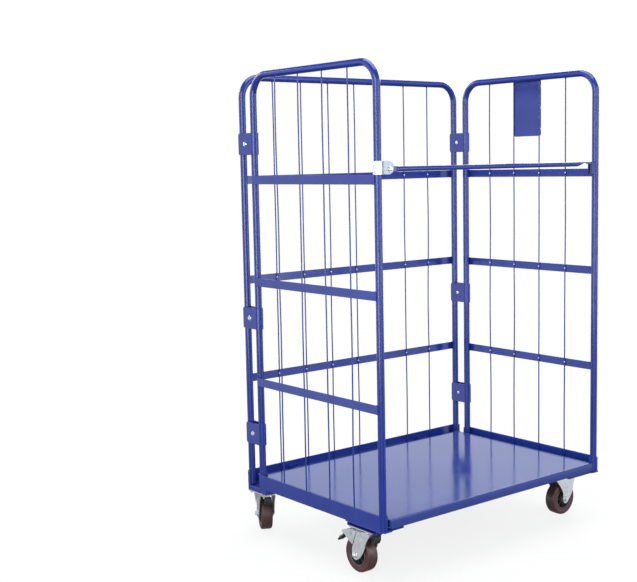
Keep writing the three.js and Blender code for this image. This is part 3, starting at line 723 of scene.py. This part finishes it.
# ---- strap hinges ----
def make_hinges(name, side):
    """Straps wrapped round a side panel's rear post, each pinched by a bolt, and welded to the rear
    post along the edges of their leaves."""
    out = X * side
    radius = RAIL_INNER + SHEET / 2
    welds = bmesh.new()
    for level_name in ("bottom", "middle", "top"):
        node = f"{name}_hinge_strap_{level_name}"
        low, high = box_mm(node)
        path = [(POST_X - radius, high.y), *arc(POST_X, HINGE_POST_Y, radius, 180, 360, 20),
                (POST_X + radius, high.y)]
        path = [(side * x, y) for x, y in denser(path, 3)]
        draft = bmesh.new()
        add_ribbon(draft, path, low.z, high.z, STRAP_CORNER, SHEET)
        make_piece(draft, f"{name}_strap_{level_name}", "rear_frame", BLUE, [node])

        node = f"{name}_hinge_bolt_{level_name}"
        bolt_low, bolt_high = box_mm(node)
        middle = (bolt_low + bolt_high) / 2
        middle.x = side * POST_X
        outer, inner = middle + out * (RAIL_OUTER + 0.1), middle - out * (RAIL_OUTER + 0.1)
        draft = bmesh.new()
        add_washer(draft, outer, out, 4.2, 8.5, 1.2)
        add_hex(draft, outer + out * 1.2, out, 12.5, 3.9)
        add_nut(draft, inner, -out, 12.5, 3.2, 3.9, 0.2)
        add_lathe(draft, [(4, 0), (4, (outer - inner).length)], inner, out, sides=16)
        make_piece(draft, f"{name}_strap_bolt_{level_name}", "rear_frame", ZINC, [node])

        for face in (-1, 1):
            x = side * POST_X + face * (TUBE_RADIUS + 0.4)
            for z in (low.z + 12, high.z - 24):
                start = Vector((x, high.y - 0.5, z))
                add_weld(welds, start, start + Z * 13, 1.7, low.z + face + z)
    make_piece(welds, f"{name}_strap_welds", "rear_frame", BLUE)


# ---- deck ----
def deck_sag(x, y):
    """The sheet is slightly wavy between its folds and beams, always downwards."""
    across = (x - deck_low.x) / (deck_high.x - deck_low.x)
    deep = (y - deck_low.y) / (deck_high.y - deck_low.y)
    edge = math.sin(math.pi * across) * math.sin(math.pi * min(1, deep * 1.02))
    wave = 0.5 + 0.28 * math.sin(7.1 * across + 2.3 * deep) + 0.22 * math.sin(5.3 * deep - 3.7 * across)
    return 0.9 * wave * max(0, edge) ** 0.5


def make_deck():
    """One sheet folded down at the front and the sides, its corners welded and ground round."""
    columns, rows = 60, 44
    left, right = deck_low.x + FOLD, deck_high.x - FOLD
    front, rear = deck_low.y + FOLD, deck_high.y
    bm = bmesh.new()
    grid = []
    for j in range(rows + 1):
        y = front + (rear - front) * j / rows
        xs = [left + (right - left) * i / columns for i in range(columns + 1)]
        grid.append([bm.verts.new((x, y, deck_high.z - deck_sag(x, y))) for x in xs])
    for lower, upper in zip(grid, grid[1:]):
        for i in range(columns):
            bm.faces.new((lower[i], lower[i + 1], upper[i + 1], upper[i]))

    def corner(vertex, first, depth, next_depth):
        return [(vertex, Vector((*way, 0)), depth + (next_depth - depth) * k / 5)
                for k, way in enumerate(arc(0, 0, 1, first, first + 90, 5))]

    # Each rim point has the grid's edge vertex, the way out in plan, and how deep its lip goes.
    flange = deck_high.z - deck_low.z
    rim = [(line[0], -X, DECK_SIDE_LIP) for line in reversed(grid[1:])]
    rim += corner(grid[0][0], 180, DECK_SIDE_LIP, flange)
    rim += [(vertex, -Y, flange) for vertex in grid[0][1:-1]]
    rim += corner(grid[0][-1], 270, flange, DECK_SIDE_LIP)
    rim += [(line[-1], X, DECK_SIDE_LIP) for line in grid[1:]]

    lines = []
    for start, out, depth in rim:
        line = [start]
        for away, up in arc(0, -FOLD, FOLD, 90, 0, 5)[1:]:
            line.append(bm.verts.new(start.co + out * away + Z * up))
        bottom = start.co + out * FOLD
        for share in (0.5, 1):
            z = deck_high.z - FOLD - (depth - FOLD) * share
            line.append(bm.verts.new((bottom.x, bottom.y, z)))
        lines.append(line)
    for before, after in zip(lines, lines[1:]):
        for a, b, c, d in zip(before, before[1:], after[1:], after):
            bm.faces.new([a, b, c, d] if a is not d else [a, b, c])
    bmesh.ops.recalc_face_normals(bm, faces=bm.faces)
    if sum(face.normal.z for face in bm.faces) < 0:
        bmesh.ops.reverse_faces(bm, faces=bm.faces)
    piece = make_piece(bm, "deck_plate", "deck", DECK, ["deck_sheet"], sharp=60)

    # The open sheet gets its thickness, inwards.
    piece.modifiers.clear()
    modifier = piece.modifiers.new("thickness", "SOLIDIFY")
    modifier.thickness = DECK_SHEET * MM
    modifier.offset = -1
    modifier.use_even_offset = False
    depsgraph = bpy.context.evaluated_depsgraph_get()
    solid = bpy.data.meshes.new_from_object(piece.evaluated_get(depsgraph))
    piece.modifiers.clear()
    piece.data = solid
    even_shading(piece)


# ---- name plate ----
def make_name_plate():
    """A blank sheet between two wires, with tack welds down both edges."""
    low, high = box_mm("name_plate")
    draft = bmesh.new()
    outline = rounded_outline(oblong(low.y, low.z, high.y, high.z), 8, pieces=6)
    add_plate(draft, outline, end_on, low.x, high.x, edge=0.35)
    make_piece(draft, "blank_name_plate", "right_panel", BLUE, ["name_plate"])
    welds = bmesh.new()
    for k, share in enumerate((0.12, 0.5, 0.88)):
        for j, y in enumerate((low.y + 0.2, high.y - 0.2)):
            at = Vector((low.x - 0.4, y, low.z + (high.z - low.z) * share))
            add_weld(welds, at - Z * 4, at + Z * 4, 1.5, 50 + 2 * k + j)
    # The name plate's welds carry a pale lilac, partly bare metal and partly painted highlight.
    make_piece(welds, "name_plate_welds", "right_panel", WELD_HIGHLIGHT_BLUE)


# ---- retaining bar and its sleeve ----
def make_bar():
    """A tube pressed flat at both ends: upright round the pivot, lying down where it rests on the catch."""
    low, high = box_mm("retaining_bar_tongue")
    pivot = joint_mm("retaining_bar_lift")
    flat_half = 2.9
    eye = 11
    neck_start = pivot.x + 27    # past the ears, even with the bar upright
    neck_half = BAR_RADIUS + 0.6
    neck = 17
    press = 34                   # length over which the tube is pressed into the tongue
    tongue_half = 2
    tongue_z = pivot.z + BAR_RADIUS - tongue_half
    rings = []

    def add_section(x, half_y, half_z, power, z=pivot.z):
        """An ellipse at power 2, nearly a rectangle at high powers."""
        rings.append(oval_ring(Vector((x, pivot.y, z)), Y * half_y, Z * half_z, 32, (2 / power,) * 2, 0.5))

    for degrees in (178, 160, 140, 120, 90):
        angle = math.radians(degrees)
        add_section(pivot.x + eye * math.cos(angle), flat_half, eye * math.sin(angle), 5)
    add_section(pivot.x + 16, flat_half, eye, 5)
    add_section(neck_start, flat_half, neck_half, 5)
    shares = (0.2, 0.4, 0.6, 0.8, 1)
    for share in shares:
        ease = eased(share)
        add_section(neck_start + neck * share, flat_half + (BAR_RADIUS - flat_half) * ease,
                    neck_half + (BAR_RADIUS - neck_half) * ease, 5 - 3 * ease)
    add_section(low.x - press, BAR_RADIUS, BAR_RADIUS, 2)
    for share in shares:
        ease = eased(share)
        add_section(low.x - press * (1 - share), BAR_RADIUS + 4 * ease,
                    BAR_RADIUS + (tongue_half - BAR_RADIUS) * ease, 2 + 4 * ease,
                    pivot.z + (tongue_z - pivot.z) * ease)
    for from_end, half_y in ((5, 12), (2, 11), (0.5, 8.5), (0, 6)):
        add_section(high.x - from_end, half_y, tongue_half, 6, tongue_z)
    bm = bmesh.new()
    add_rings(bm, rings)

    # A tab folded down off the tongue's front edge keeps the bar from sliding back off the catch.
    top = tongue_z + tongue_half
    fold = 3.5
    tab = 4                      # thickness of the tab
    section = [(pivot.y - 6, top), *arc(low.y + fold, top - fold, fold, 90, 180, 5), (low.y, low.z),
               (low.y + tab, low.z), (low.y + tab, top - tab), (pivot.y - 6, top - tab)]
    add_plate(bm, section, end_on, high.x - 22, high.x - 0.4, edge=0.8)
    make_piece(bm, "front_bar", "retaining_bar", BLUE, ["retaining_bar", "retaining_bar_tongue"], sharp=42)


def make_sleeve():
    """A zinc strap round the left post, its two ears bolted together through the bar's flattened end."""
    low, high = box_mm("bar_sleeve")
    pivot = joint_mm("retaining_bar_lift")
    ear = EAR_HALF_GAP + SLEEVE_SHEET / 2
    around = RAIL_INNER + SLEEVE_SHEET / 2
    neck_x = around - POST_X
    leaf = [(high.x, ear), (neck_x + 6.5, ear), (neck_x + 2.6, ear + 0.8)]
    path = [(x, FRONT_POST_Y + y) for x, y in leaf]
    path += arc(-POST_X, FRONT_POST_Y, around, 32, 328, 30)
    path += [(x, FRONT_POST_Y - y) for x, y in reversed(leaf)]
    bm = bmesh.new()
    add_ribbon(bm, denser(path, 1.6), low.z, high.z, (high.z - low.z) / 2, SLEEVE_SHEET,
               edge=0.4, blunt=0.25)
    # The ears are marked for a darker blue-grey: painted shade.
    painted_ear_shade = bm.verts.layers.float.new("painted_ear_shade")
    for vertex in bm.verts:
        vertex[painted_ear_shade] = min(1, max(0, (vertex.co.x - neck_x - 1) / 4))
    make_piece(bm, "post_sleeve", "bar_sleeve", ZINC, ["bar_sleeve"])

    face = EAR_HALF_GAP + SLEEVE_SHEET + 0.1
    front = pivot - Y * face
    bm = bmesh.new()
    add_washer(bm, front, -Y, 4.2, 9, 1.4)
    add_nut(bm, front - Y * 1.4, -Y, 13, 5.2, 3.9, 1.4)
    add_hex(bm, pivot + Y * face, Y, 13, 4.6)
    add_lathe(bm, [(3.9, 0), (3.9, 2 * face)], front, Y, sides=16)
    make_piece(bm, "sleeve_bolt", "bar_sleeve", ZINC, ["bar_pivot_bolt"])


# ---- wheels ----
def draw_tyre(bm, axle):
    """A cast tread: crowned, with rounded shoulders, a moulding line and a raised ring on each side."""
    half = WHEEL_HALF
    rim = WHEEL_RADIUS
    side = [(CORE_RADIUS + 0.2, half - 2.4), (CORE_RADIUS + 1.4, half - 1.3), (rim - 12.5, half - 0.9),
            (rim - 11.5, half - 0.2), (rim - 9.5, half - 0.2), (rim - 8.5, half - 0.8)]
    shoulder = arc(rim - 6.5, half - 6.6, 6.1, 78, 12, 7)
    crown = [(rim - 0.12, 6), (rim - 0.02, 1.0), (rim, 0.35)]
    add_lathe(bm, mirrored(side + shoulder + crown), axle, Y, sides=96, loop=True)
    # The running surface is marked for a darker brown-grey: partly real dust, partly painted shade.
    dust_and_shade_mask = bm.verts.layers.float.new("dust_and_shade_mask")
    for vertex in bm.verts:
        reach = math.hypot(vertex.co.x - axle.x, vertex.co.z - axle.z)
        vertex[dust_and_shade_mask] = min(1, max(0, (reach - rim + 1.8) / 1.4))


def draw_core(bm, axle):
    """The moulded core: a rim, a recessed web with ribs, and a hub."""
    rim, half = CORE_RIM, CORE_HALF
    outline = [(14.5, HUB_END - 1), (17.5, HUB_END - 2.5), (18.5, 6.5), (20, 5), (rim - 8, 5),
               (rim - 6.5, 6.5), (rim - 4.5, half - 0.8), (rim - 3.8, half), (rim - 0.6, half),
               (rim, half - 0.6)]
    add_lathe(bm, mirrored(outline), axle, Y, sides=72, loop=True)
    for k in range(8):
        turn = Matrix.Translation(axle) @ Matrix.Rotation(2 * math.pi * k / 8, 4, "Y")
        for side in (-1, 1):
            rib = bmesh.new()
            outline = [(17, 4), (17, HUB_END - 6), (rim - 6, half - 6), (rim - 6, 4)]
            outline = [(radius, across * side) for radius, across in outline]
            round_edges(rib, add_prism(rib, outline, flat, -1.5, 1.5), 0.5)
            merge_draft(bm, rib, turn)


def draw_core_ring(bm, axle):
    """The pale ring on each face of the core, just inside the tread."""
    for side in (-1, 1):
        outline = [(2.6, -0.2), (2.3, 0.45), (1.2, 0.45), (0.9, -0.2)]
        profile = [(CORE_RIM - inset, (CORE_HALF + proud) * side) for inset, proud in outline]
        add_lathe(bm, profile, axle, Y, sides=72, loop=True)


def draw_bearing(bm, axle):
    """Pressed dust caps and the spacer tube between the fork legs."""
    for side in (-1, 1):
        profile = [(6.4, -1.4), (8.4, -1.4), (9.2, 0), (13.2, -0.1), (14.3, -0.8), (14.4, -2.6), (6.4, -2.6)]
        profile = [(radius, HUB_END + along) for radius, along in profile]
        add_lathe(bm, profile, axle, Y * side, sides=40, loop=True)
    end = FORK_INNER - 0.1
    add_lathe(bm, [(6.3, -end), (8.2, -end), (8.2, end), (6.3, end)], axle, Y, sides=32, loop=True)


def draw_axle(bm, axle):
    """A hexagon bolt through the fork, with washers and a lock nut."""
    face = FORK_OUTER + 0.1
    washer = 1.5
    add_lathe(bm, [(5.8, 0), (5.8, 2 * face)], axle - Y * face, Y, sides=24)
    for side in (-1, 1):
        add_washer(bm, axle + Y * side * face, Y * side, 6, 11, washer)
    add_hex(bm, axle - Y * (face + washer), -Y, 17, 4.6)
    add_nut(bm, axle + Y * (face + washer), Y, 17, 6.4, 5.8, 1.0)


# ---- forks and mounting plates ----
def swivel_leg():
    """A swivel fork's leg from the side: it leans back from the crown to a round eye, and keeps an
    ear at the top for the pedal's pin."""
    pin_x, pin_z = PEDAL_PIVOT
    front = [(-37, CROWN_TOP - 1.5), (-34, 140), (-25, 129), (-14, 111), (-9, 93), (2, 73), (14, 58),
             (25, 50.5)]
    bottom = arc(TRAIL - 1, WHEEL_RADIUS - 1, 16, 235, 340, 10)
    rear = [bottom[-1], (56, 75), (51, 94), (43, 109), (48, 121), (pin_x + 9, pin_z - 7)]
    ear = arc(pin_x - 1, pin_z, 11, -20, 70, 6)
    top = [(pin_x, CROWN_TOP), (-35, CROWN_TOP)]
    return smooth_path(front, 4) + bottom + smooth_path(rear, 4)[1:] + ear + top


def rigid_leg():
    """A rigid fork's leg from the side: as wide as the mounting plate, then waisted down to its eye."""
    half = RIGID_PLATE[0] / 2
    front = [(-half, CASTOR_TOP - 17), (-50, 140), (-31, 117), (-15, 90), (-14, 66), (-11, 54)]
    bottom = arc(2, WHEEL_RADIUS - 1, 16, 215, 340, 12)
    rear = [bottom[-1], (25, 64), (38, 83), (46, 109), (half - 2, 136), (half, CASTOR_TOP - 20)]
    top = [(half, CASTOR_TOP - 1), (-half, CASTOR_TOP - 1)]
    return smooth_path(front, 5) + bottom + smooth_path(rear, 5)[1:] + top


def add_sheets(bm, outline, inner, outer, edge):
    """A pair of sheets, one on each side of the wheel."""
    for side in (-1, 1):
        add_plate(bm, outline, side_on, *sorted((side * inner, side * outer)), edge)


def add_legs(bm, outline, swage_top, swage_foot, width):
    """Both legs of a fork, each with a stiffening rib pressed outwards."""
    add_sheets(bm, outline, FORK_INNER, FORK_OUTER, 0.9)
    start, end = (Vector((x, 0, z)) for x, z in (swage_top, swage_foot))
    across = (end - start).normalized().cross(Y) * width / 2
    for side in (-1, 1):
        rings = []
        for i in range(13):
            swell = math.sqrt(max(0.02, 1 - (i / 6 - 1) ** 6))
            centre = start.lerp(end, i / 12) + Y * side * (FORK_OUTER - 0.3)
            rings.append(oval_ring(centre, across * swell, Y * side * 0.9 * swell, 12))
        add_rings(bm, rings)


def draw_swivel_fork(bm):
    """A pressed fork: a crown over two legs, with the lower race and the king pin's end."""
    add_legs(bm, swivel_leg(), (4, 128), (28, 84), 13)
    crown = rounded_outline(oblong(-32, -FORK_OUTER, 46, FORK_OUTER), 6)
    add_plate(bm, crown, flat, CROWN_TOP - 4, CROWN_TOP, edge=1.2)
    race = [(12, -2), (27.5, -2), (28.5, -0.6), (28.5, 0.8), (26.5, 2.0), (12, 2.0)]
    add_lathe(bm, race, Z * CROWN_TOP, Z, sides=48, loop=True)
    add_lathe(bm, [(9.5, 0), (9.5, 3.4), (8.2, 4.8), (5, 5.2)], Z * (CROWN_TOP - 3.5), -Z, sides=32)


def draw_rigid_fork(bm):
    """A fixed fork: two broad legs that taper to the axle, flanged out under the mounting plate."""
    add_legs(bm, rigid_leg(), (2, 140), (3, 88), 15)
    near = FORK_OUTER - 0.8
    for side in (-1, 1):
        web = [(u, side * (near + v)) for u, v in rounded_outline(oblong(-50, 0, 50, 4.5), 1.5)]
        add_plate(bm, web, flat, CASTOR_TOP - 6.5, CASTOR_TOP - 3.6, edge=0.7)


def draw_top_plate(bm, length, width):
    outline = rounded_outline(oblong(-length / 2, -width / 2, length / 2, width / 2), 7, pieces=5)
    add_plate(bm, outline, flat, CASTOR_TOP - 4, CASTOR_TOP, edge=0.7)


def draw_plate_bolts(bm, length, width):
    for sign_x in (-1, 1):
        for sign_y in (-1, 1):
            x, y = sign_x * (length / 2 - PLATE_BOLT_INSET), sign_y * (width / 2 - PLATE_BOLT_INSET)
            at = Vector((x, y, CASTOR_TOP - 4.05))
            add_washer(bm, at, -Z, 4.2, 8.2, 1.3)
            add_nut(bm, at - Z * 1.3, -Z, 12.5, 5.2, 3.9, 1.6)


def draw_upper_race(bm):
    """The dished upper race of the swivel, with the balls' dust gap under it."""
    race = [(10, CASTOR_TOP - 3.5), (30, CASTOR_TOP - 3.5), (31.5, CASTOR_TOP - 5), (29.5, CASTOR_TOP - 9.5),
            (27, CROWN_TOP + 2.6), (10, CROWN_TOP + 2.6)]
    add_lathe(bm, race, Vector(), Z, sides=48, loop=True)


# ---- brake pedals ----
def draw_brake_pin(bm):
    """The pin through the fork and both cheeks, with its ends riveted over."""
    pin_x, pin_z = PEDAL_PIVOT
    for side in (-1, 1):
        at = Vector((pin_x, side * (CHEEK_OUTER + 0.05), pin_z))
        add_lathe(bm, [(5.6, 0), (5.6, 0.7), (4.2, 1.3), (2, 1.5)], at, Y * side, sides=24)
    add_lathe(bm, [(3.8, 0), (3.8, 2 * CHEEK_OUTER)], Vector((pin_x, -CHEEK_OUTER, pin_z)), Y, sides=20)


def add_strip(bm, points, half_width, lift):
    """A strip bent along points (x, z) seen from the side, with its long edges turned down by lift."""
    points = smooth_path(points)
    rings = []
    for i, (x, z) in enumerate(points):
        forward = heading_at(points, i)
        normal = Vector((-forward.y, 0, forward.x))
        half = half_width(i / (len(points) - 1))
        profile = [(-half, -lift), (-half, -0.6), (-half + 1.6, 1.2), (0, 1.4), (half - 1.6, 1.2),
                   (half, -0.6), (half, -lift), (half - 1.8, -lift), (half - 2.4, -1.2), (0, -1.0),
                   (-half + 2.4, -1.2), (-half + 1.8, -lift)]
        rings.append([Vector((x, 0, z)) + Y * across + normal * up for across, up in profile])
    add_rings(bm, rings)


def draw_pedal(bm):
    """The brake: cheeks outside the fork's legs, a foot tongue between them, and a strip over the wheel."""
    cheek = [(28, 148, 3), (50, 97, 3), (66, 107, 6), (84, 119, 8), (103, 129), (106, 134), (92, 139.5, 6),
             (60, 148, 8)]
    add_sheets(bm, rounded_outline(cheek, 2.2), CHEEK_INNER, CHEEK_OUTER, 0.7)

    def foot_half(share):
        return CHEEK_OUTER - 0.4 - (CHEEK_OUTER - 15) * eased(min(1, max(0, (share - 0.28) / 0.2)))

    foot = [(84, 137.6), (95, 135.6), (105, 131.0), (116, 120.5), (134, 100.5), (148, 86.5)]
    add_strip(bm, foot, foot_half, 2.6)
    strip = [(-23.5, 130.8), (0, 130.8), (25, 131), (52, 134.5), (72, 137.5), (86, 137)]
    add_strip(bm, strip, lambda share: 13, 1.9)
    block = rounded_outline([(63, 122.6), (78.5, 122.6), (78.5, 136), (63, 135)], 1.5)
    add_plate(bm, block, side_on, -13, 13, edge=0.8)


def draw_pedal_tip(bm):
    """The black grip moulded over the end of the foot tongue, with cross ribs."""
    normal = Vector((0.74, 0, 0.67))
    sections = [(131.5, 103.4, 14.6, 2.6), (132.5, 102.3, 15.2, 3.6), (145, 88.4, 15.2, 3.4),
                (150.2, 84.2, 13.6, 2.8), (152, 83.2, 10, 1.6)]
    add_rings(bm, [oval_ring(Vector((x, 0, z)), Y * half, normal * thick, 28, (0.35, 0.5), 0.5)
                   for x, z, half, thick in sections])
    for k in range(4):
        at = Vector((136.1 + 3.4 * k, 0, 102.9 - 3.75 * k))
        add_weld(bm, at - Y * 11, at + Y * 11, 0.9, 700 + k)


def draw_pad(bm):
    """The release pad: a black rubber wedge in front of the wheel, ribbed where a toe pushes it."""
    wedge = [(-24.1, 112), (-24.1, 134, 1.5), (-36, 136, 1.5), (-37, 143, 1.5), (-42, 145), (-47, 141, 3),
             (-48, 128, 6), (-40, 114), (-32, 110)]
    add_plate(bm, rounded_outline(wedge, 2.2), side_on, -12.8, 12.8, edge=1.6)
    slope = Vector((0.3, 0, -4)).normalized()
    for k in range(5):
        at = Vector((-47.3, 0, 140.0)) + slope * 3.2 * k
        add_weld(bm, at - Y * 9.5, at + Y * 9.5, 0.8, 720 + k)


def make_castor(name, seat_body):
    wheel = joint_mm(f"{name}_wheel_spin")
    swivel = f"{name}_swivel" in JOINTS
    axis = joint_mm(f"{name}_swivel") if swivel else wheel
    heading = math.atan2(wheel.y - axis.y, wheel.x - axis.x) if swivel else 0
    axle = Vector((TRAIL if swivel else 0, 0, WHEEL_RADIUS))
    wheel_body, pedal_body = f"{name}_wheel", f"{name}_pedal"
    fork_body = f"{name}_swivel" if swivel else seat_body

    def make(piece, body, finish, draw, *measures, node=None, turn=heading):
        bm = bmesh.new()
        draw(bm, *measures)
        stand = Matrix.Translation((axis.x, axis.y, 0)) @ Matrix.Rotation(turn, 4, "Z")
        bmesh.ops.transform(bm, matrix=stand, verts=bm.verts)
        make_piece(bm, f"{name}_{piece}", body, finish, [f"{name}_{node}"] if node else ())

    make("tread", wheel_body, TREAD, draw_tyre, axle, node="tyre")
    make("core", wheel_body, CORE, draw_core, axle, node="wheel_core")
    make("core_ring", wheel_body, RING, draw_core_ring, axle)
    make("bearing", wheel_body, STEEL, draw_bearing, axle)
    make("axle_bolt", fork_body, ZINC, draw_axle, axle, node="axle")
    if swivel:
        low, high = box_mm(f"{name}_top_plate")
        size = (high.x - low.x, high.y - low.y)
        make("pressed_fork", fork_body, ZINC, draw_swivel_fork, node="fork")
        make("brake_pin", fork_body, STEEL, draw_brake_pin)
        make("mounting_plate", seat_body, ZINC, draw_top_plate, *size, node="top_plate", turn=0)
        make("upper_race", seat_body, STEEL, draw_upper_race, turn=0)
        make("pedal", pedal_body, ZINC, draw_pedal, node="brake_pedal")
        make("pedal_tip", pedal_body, PAD, draw_pedal_tip)
        make("pad", pedal_body, PAD, draw_pad, node="release_pad")
    else:
        size = RIGID_PLATE
        make("pressed_fork", fork_body, ZINC, draw_rigid_fork, node="fork")
        make("mounting_plate", seat_body, ZINC, draw_top_plate, *size)
    make("plate_bolts", seat_body, STEEL, draw_plate_bolts, *size, turn=0)


def make_cage():
    make_rear_panel()
    for name, side in SIDES.items():
        make_side_panel(name, side)
        make_hinges(name, side)
    make_deck()
    for end in ("front", "rear"):
        make_pressed(f"deck_{end}_beam", f"deck_{end}_channel", "deck", 0.9)
    for name in SIDES:
        make_pressed(f"deck_{name}_eye", f"deck_{name}_hinge_eye", "deck", 0.8)
        make_pressed(f"deck_{name}_hinge_lug", f"deck_{name}_hinge_bracket", "rear_frame", 0.5)
    for name in SIDES:
        make_pressed(f"front_{name}_seat", f"front_{name}_corner", f"{name}_panel", 0.7)
        make_pressed(f"rear_{name}_seat", f"rear_{name}_corner", "rear_frame", 0.7)
    make_name_plate()
    make_pressed("bar_catch", "bar_rest", "right_panel")
    make_bar()
    make_sleeve()
    for name, body in (("front_left", "left_panel"), ("rear_left", "rear_frame"),
                       ("front_right", "right_panel"), ("rear_right", "rear_frame")):
        make_castor(name, body)


# ---- camera, floor and light, in metres ----
CAMERA_PLACE = (-2.87877, -3.07547, 1.37257)
CAMERA_YAW_PITCH_ROLL = (38.22, -6.45, -1.2)
CAMERA_LENS = 63.61
PANEL_TURN = 38                  # degrees from +Y, clockwise, to the middle of a bright panel


def make_camera():
    yaw, pitch, roll = map(math.radians, CAMERA_YAW_PITCH_ROLL)
    forward = Vector((math.sin(yaw) * math.cos(pitch), math.cos(yaw) * math.cos(pitch), math.sin(pitch)))
    level = Vector((math.cos(yaw), -math.sin(yaw), 0))
    up = level.cross(forward)
    right = level * math.cos(roll) + up * math.sin(roll)
    top = up * math.cos(roll) - level * math.sin(roll)
    data = bpy.data.cameras.new("camera")
    data.sensor_width = 36
    data.lens = CAMERA_LENS
    camera = add_to_scene("camera", data)
    turned = Matrix((right, top, -forward)).transposed().to_4x4()
    camera.matrix_world = Matrix.Translation(CAMERA_PLACE) @ turned
    bpy.context.scene.camera = camera


def make_world():
    """White where the camera looks past the object. For light and reflections, a pale backdrop that
    stands all round, brighter in four broad panels, under a dim ceiling."""
    world = bpy.data.worlds.new("studio")
    bpy.context.scene.world = world
    sky = Shading(world)
    split = sky.add("SeparateXYZ", {"Vector": sky.coordinates["Generated"]}).outputs
    backdrop = [(0.0, 0.34), (0.355, 0.26), (0.395, 1.0), (0.57, 1.0), (0.62, 0.86), (0.71, 0.80),
                (0.80, 0.28), (1.0, 0.25)]
    backdrop = [(height, (0.93 * value, 0.99 * value, 1.07 * value)) for height, value in backdrop]
    color = sky.ramp(sky.map_range(split["Z"], -1, 1), *backdrop)
    around = sky.maths("SUBTRACT", sky.maths("ARCTAN2", split["X"], split["Y"]), math.radians(PANEL_TURN))
    wave = sky.maths("COSINE", sky.maths("MULTIPLY", around, 4.0))
    panels = sky.map_range(wave, -0.5, 0.6, 0.18, 1.3, "SMOOTHSTEP")
    shell = sky.tree.nodes["Background"]
    sky.feed(shell.inputs["Color"], color)
    sky.feed(shell.inputs["Strength"], panels)
    white = sky.add("Background", {"Color": (1, 1, 1)}).outputs["Background"]
    seen = sky.add("LightPath").outputs["Is Camera Ray"]
    mixed = sky.add("MixShader", {0: seen, 1: shell.outputs["Background"], 2: white}).outputs["Shader"]
    sky.feed(sky.tree.nodes["World Output"].inputs["Surface"], mixed)


def make_floor():
    """A large disc just under the wheels."""
    bm = bmesh.new()
    add_lathe(bm, [(2600, -12), (2600, -0.3)], Vector(), Z, sides=96)
    make_object(bm, "floor", floor_paint())


def make_softbox(name, at, look_at, width, height, power):
    data = bpy.data.lights.new(name, "AREA")
    data.shape = "RECTANGLE"
    data.size = width
    data.size_y = height
    data.energy = power
    lamp = add_to_scene(name, data)
    lamp.location = at
    lamp.rotation_mode = "QUATERNION"
    lamp.rotation_quaternion = (Vector(look_at) - Vector(at)).to_track_quat("-Z", "Y")


def make_lights():
    middle = (0, 0, 0.85)
    make_softbox("overhead", (0, -0.2, 4.2), (0, 0, 0), 3.0, 3.0, 115)
    make_softbox("left_front", (-3.9, -1.3, 1.7), middle, 2.4, 3.4, 95)
    make_softbox("right_front", (1.6, -3.8, 1.8), middle, 2.0, 2.8, 48)
    make_softbox("right_rear", (3.6, 2.0, 2.9), middle, 1.6, 1.8, 42)
    make_softbox("left_rear", (-1.6, 3.9, 2.9), middle, 1.6, 1.8, 42)
    for i, degrees in enumerate((190, 240, 82, -16)):
        around = math.radians(degrees)
        at = (4.2 * math.sin(around), 4.2 * math.cos(around), 1.6)
        make_softbox(f"strip_{i}", at, (0, 0, 1.6), 0.6, 3.2, 32)


make_camera()
make_world()
make_floor()
make_lights()
make_cage()
bpy.context.scene.view_settings.view_transform = "Standard"
